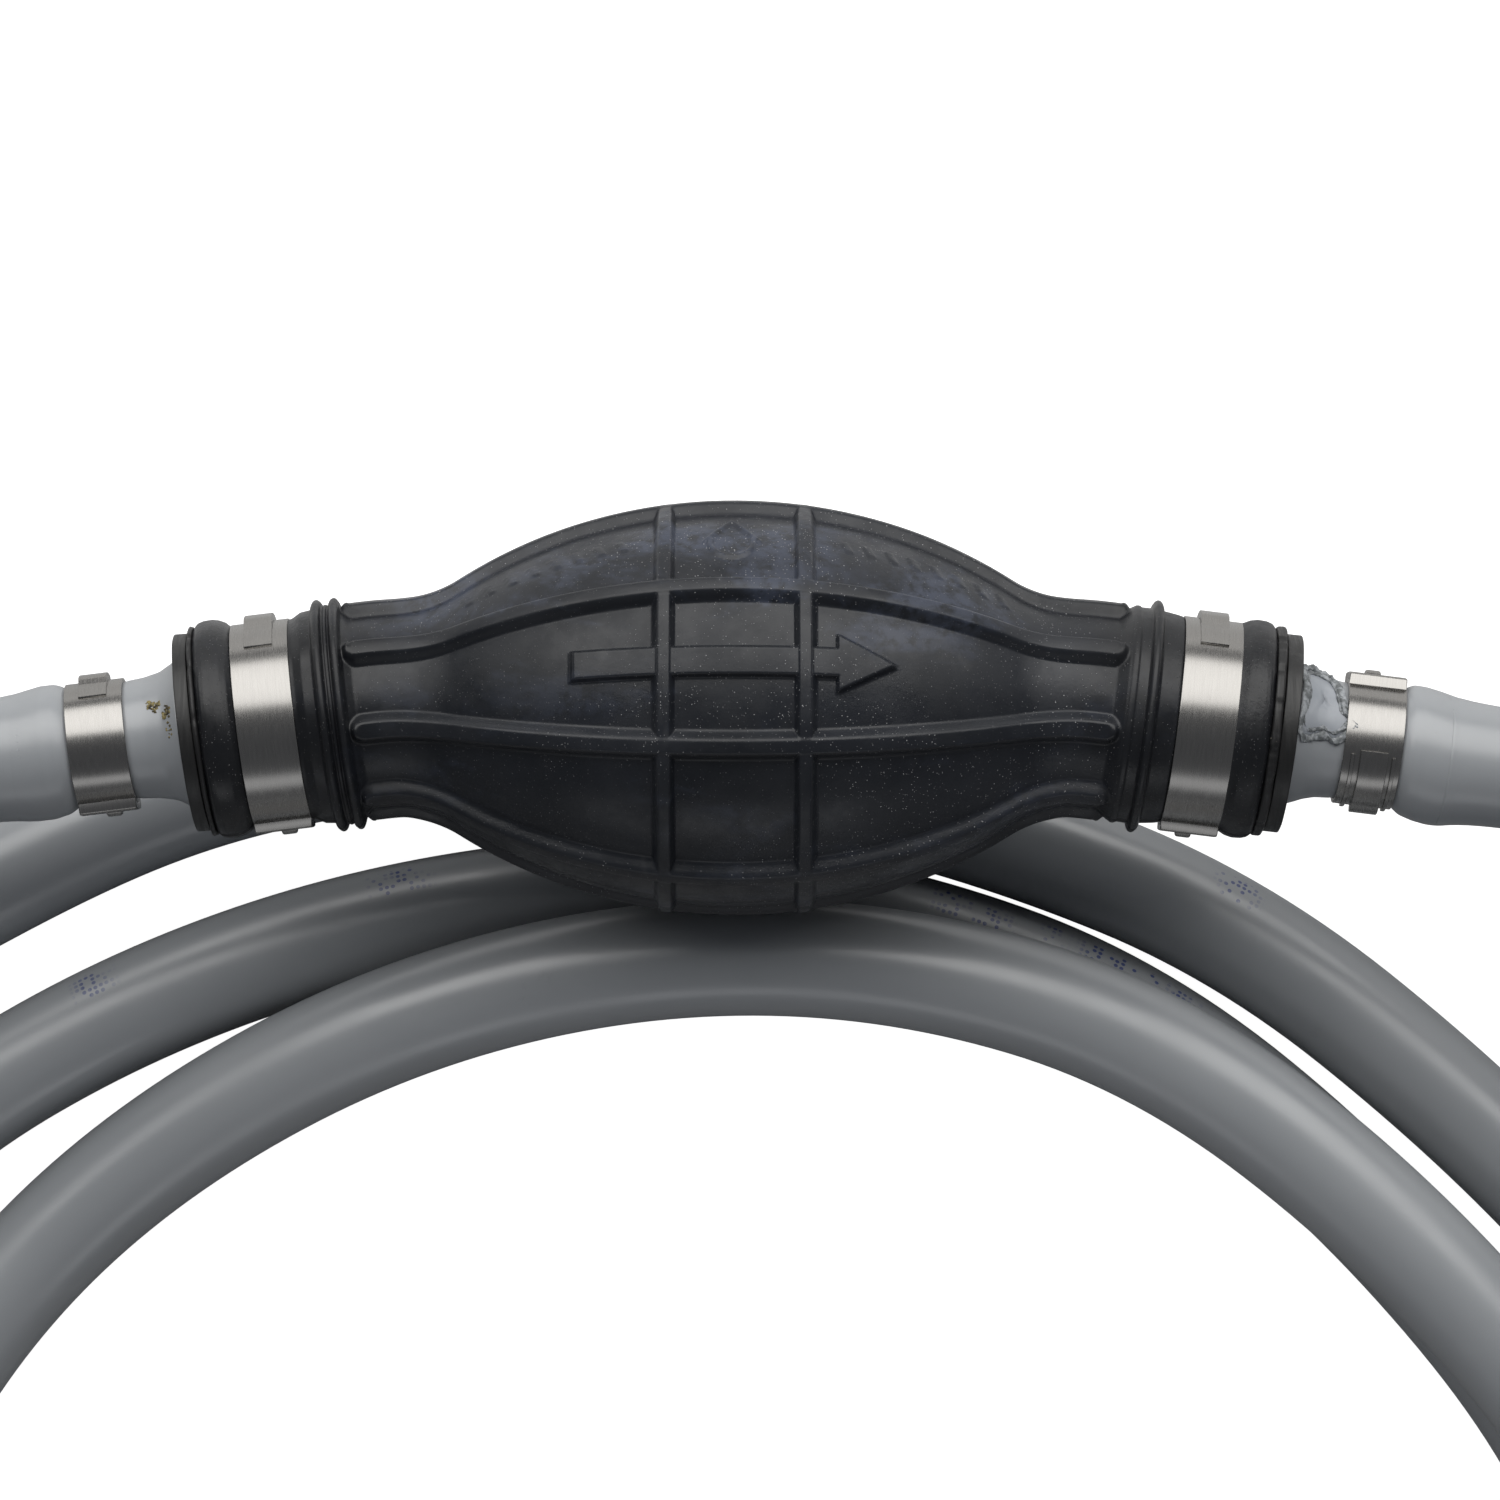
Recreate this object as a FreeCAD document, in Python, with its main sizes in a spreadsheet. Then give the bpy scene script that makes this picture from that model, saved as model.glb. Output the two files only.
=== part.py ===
"""A hose line with a hand primer bulb: a ribbed rubber bulb with a check valve in each neck, clamped hose ends and a
loosely coiled hose. Millimetres. The origin is the bulb's centre, +X runs along the flow and +Z is up."""

import FreeCAD
import Part
import math
import os
import Sketcher

V = FreeCAD.Vector
X_AXIS, Z_AXIS = V(1, 0, 0), V(0, 0, 1)

SIZES = {
    # bulb
    "belly_radius": 27.6,
    "belly_arc": 72.0,
    "belly_half": 47.7,
    "neck_radius": 13.7,
    "wall": 2.6,
    "rib_height": 1.6,
    "rib_width": 3.2,
    "rib_end": 50.5,
    "rib_count": 8,
    "ring_place": 9.7,
    "ring_half": 1.7,
    "neck_tilt": 7.0,
    "arrow_turn": 13.0,
    # stations along a neck, from the point where it bends away from the belly
    "neck_start": -4.0,
    "collar_start": 6.0,
    "collar_end": 12.4,
    "seat_end": 21.6,
    "lip_end": 26.4,
    "flange_start": 27.8,
    "flange_end": 30.2,
    "barb_end": 50.0,
    "cuff_end": 53.0,
    # radii about a neck
    "neck_bore": 11.0,
    "seat_radius": 14.1,
    "lip_radius": 15.4,
    "collar_radius": 15.2,
    "collar_ring": 16.4,
    "flange_radius": 14.0,
    "gasket_radius": 14.8,
    "barb_radius": 5.1,
    "barb_height": 0.4,
    # valve
    "chamber_radius": 8.2,
    "chamber_start": 8.0,
    "chamber_end": 25.0,
    "port_radius": 3.6,
    "stem_radius": 1.6,
    "stem_gap": 0.08,
    "disc_radius": 5.8,
    "ring_section": 0.75,
    "wire_radius": 0.35,
    "coil_radius": 3.4,
    "coil_pitch": 1.3,
    "coil_length": 5.2,
    # hose and clamps
    "hose_radius": 8.35,
    "hose_bore": 4.76,
    "tail_depth": 14.0,
    "mouth_chamfer": 0.4,
    "drill_point": 1.0,
    "band_thickness": 0.8,
    "band_width": 8.2,
    "tab_width": 4.0,
    "tab_height": 1.6,
    "ear_thickness": 1.8,
    "ear_across": 7.5,
    "ear_sunk": 0.6,
    "bulb_clamp_start": 13.1,
    "waist_radius": 8.1,
    "hose_clamp_start": 37.2,
    # the part of the bulb that a thumb presses in
    "panel_half": 25.0,
    "panel_width": 8.4,
    "panel_gap": 0.3,
    "arrow_height": 1.0,
}
# The shoulder is an arc tangent to the belly's arc and to the neck.
JOIN_ANGLE = 2 * math.atan((SIZES["belly_radius"] - SIZES["neck_radius"]) / SIZES["belly_half"])
SIZES["join_sin"] = math.sin(JOIN_ANGLE)
SIZES["join_cos"] = math.cos(JOIN_ANGLE)
SIZES["shoulder_arc"] = SIZES["belly_half"] / SIZES["join_sin"] - SIZES["belly_arc"]
SIZES["join_place"] = SIZES["belly_arc"] * SIZES["join_sin"]
SIZES["join_radius"] = SIZES["belly_radius"] - SIZES["belly_arc"] * (1 - SIZES["join_cos"])

SIDES = ("inlet", "outlet")
OUTWARD = {"inlet": 180 + SIZES["neck_tilt"], "outlet": -SIZES["neck_tilt"]}
KINK = {"inlet": V(-SIZES["belly_half"], 0, 0), "outlet": V(SIZES["belly_half"], 0, 0)}
FIRST_RIB = 90 / 2 - 180 / SIZES["rib_count"] - SIZES["arrow_turn"]  # about +X, from +Y

# The hose lies on the table in loose turns. The height of its centre is TABLE on the table and UPPER on another turn.
TABLE, UPPER = -37.0, -19.6
INLET_ROUTE = [
    # out of the bulb's neck, down the left side and over the outer turn
    [(-113.5, -8.0, -0.4), (-136.4, -15.2, -3.5), (-158.0, -33.0, -9.0), (-172.1, -59.5, -15.5)],
    [(-175.5, -92.3, -20.5), (-169.9, -128.0, -22.5), (-156.0, -162.0, -20.0), (-133.0, -191.0, UPPER)],
    [(-103.0, -214.0, UPPER), (-66.0, -230.0, UPPER), (-27.0, -236.5, UPPER), (14.0, -237.6, UPPER)],
    [(60.0, -236.5, UPPER), (94.7, -223.5, UPPER), (118.8, -200.2, UPPER), (132.4, -169.7, UPPER)],
    [(133.5, -136.3, UPPER), (122.1, -104.9, UPPER), (93.2, -72.0, UPPER), (60.0, -46.9, UPPER)],
    [(24.0, -36.0, UPPER), (-13.0, -35.2, -20.3), (-50.0, -44.4, -25.5), (-84.0, -63.0, -34.0)],
    # the middle turn, which the one above comes down beside
    [(-108.9, -86.0, TABLE), (-126.0, -114.5, TABLE), (-131.0, -147.0, TABLE), (-123.5, -179.5, TABLE)],
    [(-104.5, -206.5, TABLE), (-76.0, -224.5, TABLE), (-43.0, -230.0, TABLE), (-6.0, -231.2, TABLE)],
    [(28.0, -231.0, TABLE), (62.5, -229.0, TABLE), (93.0, -217.3, TABLE), (116.2, -195.0, TABLE)],
    [(129.4, -165.6, TABLE), (130.5, -134.0, TABLE), (119.9, -104.5, TABLE), (91.0, -70.0, TABLE)],
    [(58.0, -43.5, TABLE), (22.0, -30.5, TABLE), (-15.0, -25.8, TABLE), (-53.0, -30.8, TABLE)],
    # the outer turn, which passes under the bulb
    [(-88.0, -42.8, TABLE), (-119.0, -61.0, TABLE), (-141.5, -86.5, TABLE), (-152.0, -118.0, TABLE)],
    [(-150.5, -151.0, TABLE), (-145.5, -184.0, TABLE), (-130.0, -213.0, TABLE), (-105.0, -235.0, TABLE)],
    [(-73.5, -246.8, TABLE), (-38.0, -248.5, TABLE), (0.0, -249.6, TABLE), (40.0, -249.2, TABLE)],
    [(80.0, -246.0, TABLE), (112.0, -234.5, TABLE), (136.8, -211.0, TABLE), (150.5, -180.0, TABLE)],
    [(152.5, -146.5, TABLE), (147.0, -114.5, TABLE), (132.5, -85.5, TABLE), (107.0, -58.5, TABLE)],
    [(74.0, -32.0, TABLE), (38.0, -17.3, TABLE), (2.0, -8.6, TABLE), (-34.0, -4.6, TABLE)],
    [(-71.0, -8.9, TABLE), (-104.0, -22.3, TABLE), (-131.0, -38.5, TABLE)],
]
OUTLET_ROUTE = [
    [(113.5, -8.0, -0.4), (136.4, -15.2, -3.8), (158.0, -33.0, -11.0), (171.0, -60.0, -20.0)],
    [(174.5, -91.0, -28.5), (174.5, -122.0, -34.5), (173.0, -153.0, TABLE), (168.0, -184.0, TABLE)],
    [(160.0, -212.0, TABLE)],
]
INLET_NODES = ("inlet_hose_first_turn", "inlet_hose_second_turn", "inlet_hose_third_turn")
INLET_CUTS = (20, 41)  # the runs whose middles divide the inlet hose
RUN_SHARE = 0.45  # of the shorter run beside a corner, which its arc takes up

TAB_SPAN = 36  # degrees round the neck
HOSE_EARS = {"inlet": -1, "outlet": 1}

doc = FreeCAD.newDocument("primer_bulb_hose")
sheet = doc.addObject("Spreadsheet::Sheet", "Sizes")
nodes = {}


def fill_sheet():
    for row, (name, value) in enumerate(SIZES.items(), start=1):
        sheet.set(f"A{row}", name)
        sheet.set(f"B{row}", str(value))
        sheet.setAlias(f"B{row}", name)
    doc.recompute()


def bound(expression):
    """The expression with each of the sheet's names written as a reference to its cell."""
    words = str(expression).split(" ")
    return " ".join(f"Sizes.{w}" if w in SIZES else w for w in words)


def size(expression):
    return float(sheet.evalExpression(bound(expression)))


def bind(feature, **values):
    """Sets each property from an expression in the sheet's names."""
    for name, expression in values.items():
        feature.setExpression(name, bound(expression))


def neck_frame(side):
    """The frame of a neck: X runs out along it."""
    return FreeCAD.Placement(KINK[side], FreeCAD.Rotation(Z_AXIS, OUTWARD[side]))


def valve_frame(side):
    """The frame of a valve. Both valves open along the flow, so the outlet's is the inlet's turned round."""
    if side == "inlet":
        return neck_frame(side)
    length = SIZES["chamber_start"] + SIZES["chamber_end"]
    return neck_frame(side).multiply(FreeCAD.Placement(V(length, 0, 0), FreeCAD.Rotation(Z_AXIS, 180)))


def base_plane(body, role):
    return next(f for f in body.Origin.OriginFeatures if f.Role == role)


def new_body(label):
    body = doc.addObject("PartDesign::Body", label)
    body.Label = label
    return body


def arc_edge(start, end, radius, side):
    """The arc from start to end with its centre on that side, 1 for the left. Sketcher's arcs run anticlockwise."""
    chord = end - start
    across = V(-chord.y, chord.x, 0).normalize() * side
    centre = (start + end) * 0.5 + across * math.sqrt(radius**2 - (chord.Length / 2) ** 2)
    first, last = (start, end) if side > 0 else (end, start)
    begin = math.atan2(first.y - centre.y, first.x - centre.x)
    finish = math.atan2(last.y - centre.y, last.x - centre.x)
    if finish < begin:
        finish += 2 * math.pi
    return Part.ArcOfCircle(Part.Circle(centre, Z_AXIS, radius), begin, finish)


def outline(body, name, corners, offset=None, role="XY_Plane"):
    """A closed sketch on one of the body's own planes. A corner is (x, y), or (x, y, radius, side) where the edge
    that leaves it is an arc. All of them are expressions in the sheet's names, which bind the sketch's constraints."""
    sketch = body.newObject("Sketcher::SketchObject", name)
    sketch.AttachmentSupport = [(base_plane(body, role), "")]
    sketch.MapMode = "FlatFace"
    if offset is not None:
        sketch.AttachmentOffset = offset
    points = [V(size(c[0]), size(c[1]), 0) for c in corners]
    ends = []
    for i, corner in enumerate(corners):
        start, end = points[i], points[(i + 1) % len(points)]
        if len(corner) == 2:
            sketch.addGeometry(Part.LineSegment(start, end))
            ends.append((1, 2))
        else:
            sketch.addGeometry(arc_edge(start, end, size(corner[2]), corner[3]))
            ends.append((1, 2) if corner[3] > 0 else (2, 1))
            number = sketch.addConstraint(Sketcher.Constraint("Radius", i, size(corner[2])))
            sketch.setExpression(f"Constraints[{number}]", bound(corner[2]))
    for i, corner in enumerate(corners):
        after = (i + 1) % len(corners)
        sketch.addConstraint(Sketcher.Constraint("Coincident", i, ends[i][1], after, ends[after][0]))
        for kind, value, expression in zip(("DistanceX", "DistanceY"), points[i], corner[:2]):
            number = sketch.addConstraint(Sketcher.Constraint(kind, -1, 1, i, ends[i][0], value))
            sketch.setExpression(f"Constraints[{number}]", bound(expression))
    return sketch


def revolve(body, sketch, kind="PartDesign::Revolution"):
    """Turns the sketch once round its own X axis."""
    feature = body.newObject(kind, sketch.Name + "_turned")
    feature.Profile = sketch
    feature.ReferenceAxis = (sketch, ["H_Axis"])
    feature.Angle = 360
    return feature


def turned(label, corners, frame, offset=None):
    """A body that is one outline turned round its X axis."""
    body = new_body(label)
    revolve(body, outline(body, label + "_outline", corners, offset))
    body.Placement = frame
    return body


def node(label, feature):
    feature.Label = label
    nodes[label] = feature
    return feature


def belly_corners(grow):
    """Half of the belly's section, grown by an expression such as rib_height."""
    join = (f"join_place + ( {grow} ) * join_sin", f"join_radius + ( {grow} ) * join_cos")
    edge = f"neck_radius + ( {grow} )"
    return [
        ("-1 * belly_half", "0"),
        ("-1 * belly_half", edge, f"shoulder_arc - ( {grow} )", 1),
        (f"-1 * ( {join[0]} )", join[1], f"belly_arc + ( {grow} )", -1),
        (join[0], join[1], f"shoulder_arc - ( {grow} )", 1),
        ("belly_half", edge),
        ("belly_half", "0"),
    ]


def rib_corners():
    """One long rib: the belly's section grown by the rib's height, with straight ends on the necks."""
    curve = belly_corners("rib_height")[1:5]
    foot, top = "neck_bore + 0.8", "neck_radius + rib_height"
    return [
        ("-1 * rib_end", foot),
        ("-1 * rib_end", top),
        *curve,
        ("rib_end", top),
        ("rib_end", foot),
    ]


def ring_corners(side):
    """One of the two ribs that run round the belly."""
    low, top = "belly_radius - 1.6", "belly_radius + rib_height"
    return [
        (f"{side} * ring_place - ring_half", low),
        (f"{side} * ring_place - ring_half * 0.5", top),
        (f"{side} * ring_place + ring_half * 0.5", top),
        (f"{side} * ring_place + ring_half", low),
    ]


def neck_corners():
    """A neck: two thin rings on a collar, the clamp's seat and the rolled lip."""
    corners = [
        ("neck_start", "0"),
        ("neck_start", "neck_radius"),
        ("collar_start - 1", "neck_radius"),
        ("collar_start", "collar_radius"),
    ]
    for middle in ("collar_start + 1.7", "collar_end - 1.7"):
        corners += [
            (f"{middle} - 0.9", "collar_radius"),
            (f"{middle} - 0.5", "collar_ring"),
            (f"{middle} + 0.5", "collar_ring"),
            (f"{middle} + 0.9", "collar_radius"),
        ]
    return corners + [
        ("collar_end", "collar_radius - 0.5"),
        ("collar_end + 0.5", "seat_radius"),
        ("seat_end", "seat_radius"),
        ("seat_end + 0.8", "lip_radius - 0.2"),
        ("seat_end + 2", "lip_radius"),
        ("lip_end - 1", "lip_radius"),
        ("lip_end", "lip_radius - 0.8"),
        ("lip_end", "0"),
    ]


def bulb_moulding():
    """The whole rubber moulding, hollow from lip to lip."""
    body = new_body("bulb_moulding")
    revolve(body, outline(body, "belly", belly_corners("0")))
    necks = {s: FreeCAD.Placement(KINK[s], FreeCAD.Rotation(Z_AXIS, OUTWARD[s])) for s in SIDES}
    for side in SIDES:
        revolve(body, outline(body, f"{side}_neck", neck_corners(), necks[side]))
    for sign, name in ((-1, "inlet_ring"), (1, "outlet_ring")):
        revolve(body, outline(body, name, ring_corners(sign)))
    turn = FreeCAD.Placement(V(0, 0, 0), FreeCAD.Rotation(X_AXIS, FIRST_RIB))
    rib = body.newObject("PartDesign::Pad", "rib")
    rib.Profile = outline(body, "rib_outline", rib_corners(), turn)
    rib.SideType = "Symmetric"
    bind(rib, Length="rib_width")
    doc.recompute()
    ribs = body.newObject("PartDesign::PolarPattern", "ribs")
    ribs.Originals = [rib]
    ribs.Axis = (base_plane(body, "X_Axis"), [""])
    ribs.Angle = 360
    bind(ribs, Occurrences="rib_count")
    body.Tip = ribs
    doc.recompute()
    solid = body.Shape.Volume
    revolve(body, outline(body, "cavity", belly_corners("-1 * wall")), "PartDesign::Groove")
    bore = [("-3", "0"), ("-3", "neck_bore"), ("lip_end + 1", "neck_bore"), ("lip_end + 1", "0")]
    for side in SIDES:
        revolve(body, outline(body, f"{side}_bore", bore, necks[side]), "PartDesign::Groove")
    doc.recompute()
    print(f"bulb moulding: {solid:.0f} mm3 before its cavity, {body.Shape.Volume:.0f} mm3 after")
    return body


def pressing_box(name, gap):
    """The block of the wall that a thumb presses in, between two ribs, turned to face the arrow's way."""
    box = doc.addObject("Part::Box", name)
    bind(
        box,
        Length=f"2 * ( panel_half - {gap} )",
        Width=f"2 * ( panel_width - {gap} )",
        Height="belly_radius",
    )
    half, width = size(f"panel_half - {gap}"), size(f"panel_width - {gap}")
    turn = FreeCAD.Rotation(X_AXIS, -SIZES["arrow_turn"])
    box.Placement = FreeCAD.Placement(turn.multVec(V(-half, -width, SIZES["belly_radius"] / 2)), turn)
    return box


def boolean(kind, name, base, tool):
    feature = doc.addObject(kind, name)
    feature.Base, feature.Tool = base, tool
    return feature


def flow_arrow():
    """The raised arrow: a prism kept only where it stands just out of the belly."""
    prism = new_body("arrow_prism")
    shaft, head = "2.1", "4.1"
    corners = [("-23", "-" + shaft), ("14", "-" + shaft), ("14", "-" + head), ("22.4", "0")]
    corners += [("14", head), ("14", shaft), ("-23", shaft)]
    pad = prism.newObject("PartDesign::Pad", "arrow_pad")
    pad.Profile = outline(prism, "arrow_outline", corners)
    bind(pad, Length="belly_radius + 5")
    prism.Placement = FreeCAD.Placement(V(0, 0, 0), FreeCAD.Rotation(X_AXIS, -SIZES["arrow_turn"]))
    skin = turned("arrow_skin", belly_corners("arrow_height"), FreeCAD.Placement())
    core = turned("arrow_core", belly_corners("-1 * arrow_height"), FreeCAD.Placement())
    raised = boolean("Part::Common", "arrow_raised", prism, skin)
    return boolean("Part::Cut", "flow_arrow", raised, core)


def make_bulb():
    moulding = bulb_moulding()
    node("bulb_shell", boolean("Part::Cut", "bulb_shell", moulding, pressing_box("shell_opening", "0")))
    panel = boolean("Part::Common", "panel_wall", moulding, pressing_box("panel_block", "panel_gap"))
    fused = doc.addObject("Part::MultiFuse", "thumb_panel")
    fused.Shapes = [panel, flow_arrow()]
    node("thumb_panel", fused)


def fitting_corners():
    """A moulded hose fitting: the cup that holds the valve, a flange, and a barbed tail."""
    corners = [
        ("chamber_start", "chamber_radius"),
        ("chamber_start", "neck_bore"),
        ("flange_start", "neck_bore"),
        ("flange_start", "flange_radius"),
        ("flange_end", "flange_radius"),
        ("flange_end", "barb_radius"),
    ]
    for place in (2.6, 7.6, 12.6):
        corners += [
            (f"flange_end + {place}", "barb_radius"),
            (f"flange_end + {place}", "barb_radius + barb_height"),
            (f"flange_end + {place + 2.6:.1f}", "barb_radius"),
        ]
    return corners + [
        ("barb_end - 1", "barb_radius"),
        ("barb_end", "barb_radius - 0.8"),
        ("barb_end", "port_radius"),
        ("chamber_end", "port_radius"),
        ("chamber_end", "chamber_radius"),
    ]


def cuff_corners():
    """The end of the hose, which swells over the barbed tail and flares against the flange."""
    return [
        ("flange_end", "barb_radius"),
        ("flange_end", "hose_radius + 1.6"),
        ("flange_end + 1.4", "hose_radius + 1.2"),
        ("flange_end + 3.4", "hose_radius"),
        ("hose_clamp_start - 0.6", "waist_radius"),
        ("hose_clamp_start + band_width + 0.4", "waist_radius"),
        ("hose_clamp_start + band_width + 1.2", "hose_radius + 0.5"),
        ("hose_clamp_start + band_width + 3.2", "hose_radius + 0.85"),
        ("hose_clamp_start + band_width + 5.4", "hose_radius + 0.6"),
        ("cuff_end", "hose_radius"),
        ("cuff_end", "0"),
        ("barb_end + 0.2", "0"),
        ("barb_end + 0.2", "barb_radius"),
    ]


def clamp(label, side, start, radius, ear_side):
    """An ear clamp: its band, the flat closed ear on that side of the neck, 1 for +Y, and the tab opposite the ear."""
    outer = f"{radius} + band_thickness"
    ring = [(start, radius), (start, outer), (f"{start} + band_width", outer), (f"{start} + band_width", radius)]
    band = turned(label + "_band", ring, neck_frame(side))
    ear_way = ear_side if side == "outlet" else -ear_side  # along the neck's own Y axis
    round_neck = FreeCAD.Placement(
        V(size(f"{start} + ( band_width - tab_width ) / 2"), 0, 0), FreeCAD.Rotation(V(0, 1, 0), 90)
    )
    begin = FreeCAD.Placement(V(0, 0, 0), FreeCAD.Rotation(Z_AXIS, -ear_way * 90 - TAB_SPAN / 2))
    shells = []
    for name, reach in (("tab", f"{outer} + tab_height"), ("tab_core", f"{outer} - 0.2")):
        piece = doc.addObject("Part::Cylinder", f"{label}_{name}")
        bind(piece, Radius=reach, Height="tab_width")
        piece.Angle = TAB_SPAN
        piece.Placement = neck_frame(side).multiply(round_neck).multiply(begin)
        shells.append(piece)
    tab = boolean("Part::Cut", f"{label}_raised_tab", *shells)
    ear = doc.addObject("Part::Box", label + "_ear")
    bind(ear, Length="band_width", Width="ear_thickness", Height="ear_across")
    inner = size(f"{outer} - ear_sunk")
    low = inner if ear_way > 0 else -inner - SIZES["ear_thickness"]
    corner = V(size(start), low, -SIZES["ear_across"] / 2)
    ear.Placement = neck_frame(side).multiply(FreeCAD.Placement(corner, FreeCAD.Rotation()))
    whole = doc.addObject("Part::MultiFuse", label)
    whole.Shapes = [band, tab, ear]
    node(label, whole)


def make_neck(side):
    """What is fastened to one neck: the fitting, its gasket, the hose's swollen end and the two clamps."""
    frame = neck_frame(side)
    node(f"{side}_fitting", turned(f"{side}_fitting", fitting_corners(), frame))
    gasket = [
        ("lip_end", "neck_bore"),
        ("lip_end", "gasket_radius"),
        ("flange_start", "gasket_radius"),
        ("flange_start", "neck_bore"),
    ]
    node(f"{side}_gasket", turned(f"{side}_gasket", gasket, frame))
    node(f"{side}_hose_end", turned(f"{side}_hose_end", cuff_corners(), frame))
    clamp(f"{side}_bulb_clamp", side, "bulb_clamp_start", "seat_radius", -1)
    clamp(f"{side}_hose_clamp", side, "hose_clamp_start", "waist_radius", HOSE_EARS[side])


def make_cage(side):
    """The valve's cage: a rim, and a web with a guide for the stem and four ports."""
    label = f"{side}_valve_cage"
    rim, guide = "chamber_radius - 1.2", "stem_radius + stem_gap"
    corners = [
        ("chamber_start + 0.6", rim),
        ("chamber_start + 0.6", "chamber_radius"),
        ("chamber_start + 6", "chamber_radius"),
        ("chamber_start + 6", rim),
        ("chamber_start + 4.4", rim),
        ("chamber_start + 4.4", "stem_radius + 1.4"),
        ("chamber_start + 5", "stem_radius + 1.4"),
        ("chamber_start + 5", guide),
        ("chamber_start + 2.8", guide),
        ("chamber_start + 2.8", rim),
    ]
    body = turned(label, corners, valve_frame(side))
    doc.recompute()
    solid = body.Shape.Volume
    sketch = body.newObject("Sketcher::SketchObject", f"{label}_port")
    sketch.AttachmentSupport = [(base_plane(body, "YZ_Plane"), "")]
    sketch.MapMode = "FlatFace"
    sketch.addGeometry(Part.Circle(V(5.0, 0, 0), Z_AXIS, 1.6))
    sketch.addConstraint(Sketcher.Constraint("Radius", 0, 1.6))
    sketch.addConstraint(Sketcher.Constraint("DistanceX", -1, 1, 0, 3, 5.0))
    sketch.addConstraint(Sketcher.Constraint("PointOnObject", 0, 3, -1))
    port = body.newObject("PartDesign::Pocket", f"{label}_port_cut")
    port.Profile = sketch
    port.Type = "ThroughAll"
    port.SideType = "Symmetric"
    doc.recompute()
    ports = body.newObject("PartDesign::PolarPattern", f"{label}_ports")
    ports.Originals = [port]
    ports.Axis = (base_plane(body, "X_Axis"), [""])
    ports.Angle = 360
    ports.Occurrences = 4
    body.Tip = ports
    doc.recompute()
    print(f"{label}: {solid:.0f} mm3 before its ports, {body.Shape.Volume:.0f} mm3 after")
    node(label, body)


def make_spring(side):
    """The valve's spring between the cage and the disc. Its wire has eight flats, which a coarse mesh follows."""
    label = f"{side}_valve_spring"
    start = size("chamber_start + 5.6")
    frame = valve_frame(side).multiply(
        FreeCAD.Placement(V(start, 0, 0), FreeCAD.Rotation(V(0, 1, 0), 90))
    )
    helix = doc.addObject("Part::Helix", label + "_line")
    bind(helix, Pitch="coil_pitch", Height="coil_length", Radius="coil_radius")
    section = doc.addObject("Part::RegularPolygon", label + "_section")
    section.Polygon = 8
    bind(section, Circumradius="wire_radius")
    section.Placement = FreeCAD.Placement(V(SIZES["coil_radius"], 0, 0), FreeCAD.Rotation(X_AXIS, 90))
    wire = doc.addObject("Part::Sweep", label)
    wire.Sections = [section]
    wire.Spine = (helix, [])
    wire.Solid = True
    wire.Frenet = True
    wire.Placement = frame
    node(label, wire)


def make_valve(side):
    """A spring-loaded check valve: seat, moving disc with its sealing ring, spring and cage."""
    frame = valve_frame(side)
    face = "chamber_end - 2.4"
    seat = [
        (face, "port_radius + 0.4"),
        (face, "chamber_radius"),
        ("chamber_end", "chamber_radius"),
        ("chamber_end", "port_radius"),
        (f"{face} + 0.4", "port_radius"),
    ]
    node(f"{side}_valve_seat", turned(f"{side}_valve_seat", seat, frame))
    disc = [
        ("chamber_start + 2", "0"),
        ("chamber_start + 2", "stem_radius - 0.3"),
        ("chamber_start + 2.3", "stem_radius"),
        (f"{face} - 3.3", "stem_radius"),
        (f"{face} - 3.3", "disc_radius"),
        (f"{face} - 1.7", "disc_radius"),
        (f"{face} - 1.7", "port_radius"),
        (f"{face} - 0.5", "port_radius"),
        (f"{face} - 0.4", "0"),
    ]
    node(f"{side}_valve_disc", turned(f"{side}_valve_disc", disc, frame))
    ring = doc.addObject("Part::Torus", f"{side}_valve_o_ring")
    bind(ring, Radius1="port_radius + ring_section + 0.05", Radius2="ring_section")
    middle = V(size(f"{face} - 1.7 + ring_section"), 0, 0)
    ring.Placement = frame.multiply(FreeCAD.Placement(middle, FreeCAD.Rotation(V(0, 1, 0), 90)))
    node(f"{side}_valve_o_ring", ring)
    make_cage(side)
    make_spring(side)


def rounded(points):
    """The edges of a route: straight runs joined by tangent arcs, and each arc's radius."""
    edges, radii, at = [], [], points[0]
    for before, corner, after in zip(points, points[1:], points[2:]):
        back, ahead = before - corner, after - corner
        reach = RUN_SHARE * min(back.Length, ahead.Length)
        half_turn = (math.pi - back.getAngle(ahead)) / 2
        radius = reach / math.tan(half_turn)
        back.normalize()
        ahead.normalize()
        start, end = corner + back * reach, corner + ahead * reach
        inward = (back + ahead).normalize()
        middle = corner + inward * (radius / math.cos(half_turn) - radius)
        edges.append(Part.LineSegment(at, start).toShape())
        edges.append(Part.Arc(start, middle, end).toShape())
        radii.append(radius)
        at = end
    edges.append(Part.LineSegment(at, points[-1]).toShape())
    return edges, radii


def tube(label, edges):
    """A round tube along the edges, and a print of how its volume compares with its section times its length."""
    radius = SIZES["hose_radius"]
    path = Part.Wire(edges)
    first = edges[0]
    start, way = first.valueAt(first.FirstParameter), first.tangentAt(first.FirstParameter)
    section = Part.Wire(Part.Circle(start, way, radius).toShape())
    shape = path.makePipeShell([section], True, False)
    feature = doc.addObject("Part::Feature", label)
    feature.Shape = shape
    node(label, feature)
    expected = math.pi * radius**2 * path.Length
    print(f"{label}: {path.Length:.0f} mm long, volume {shape.Volume / expected:.4f} of section times length")


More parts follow.
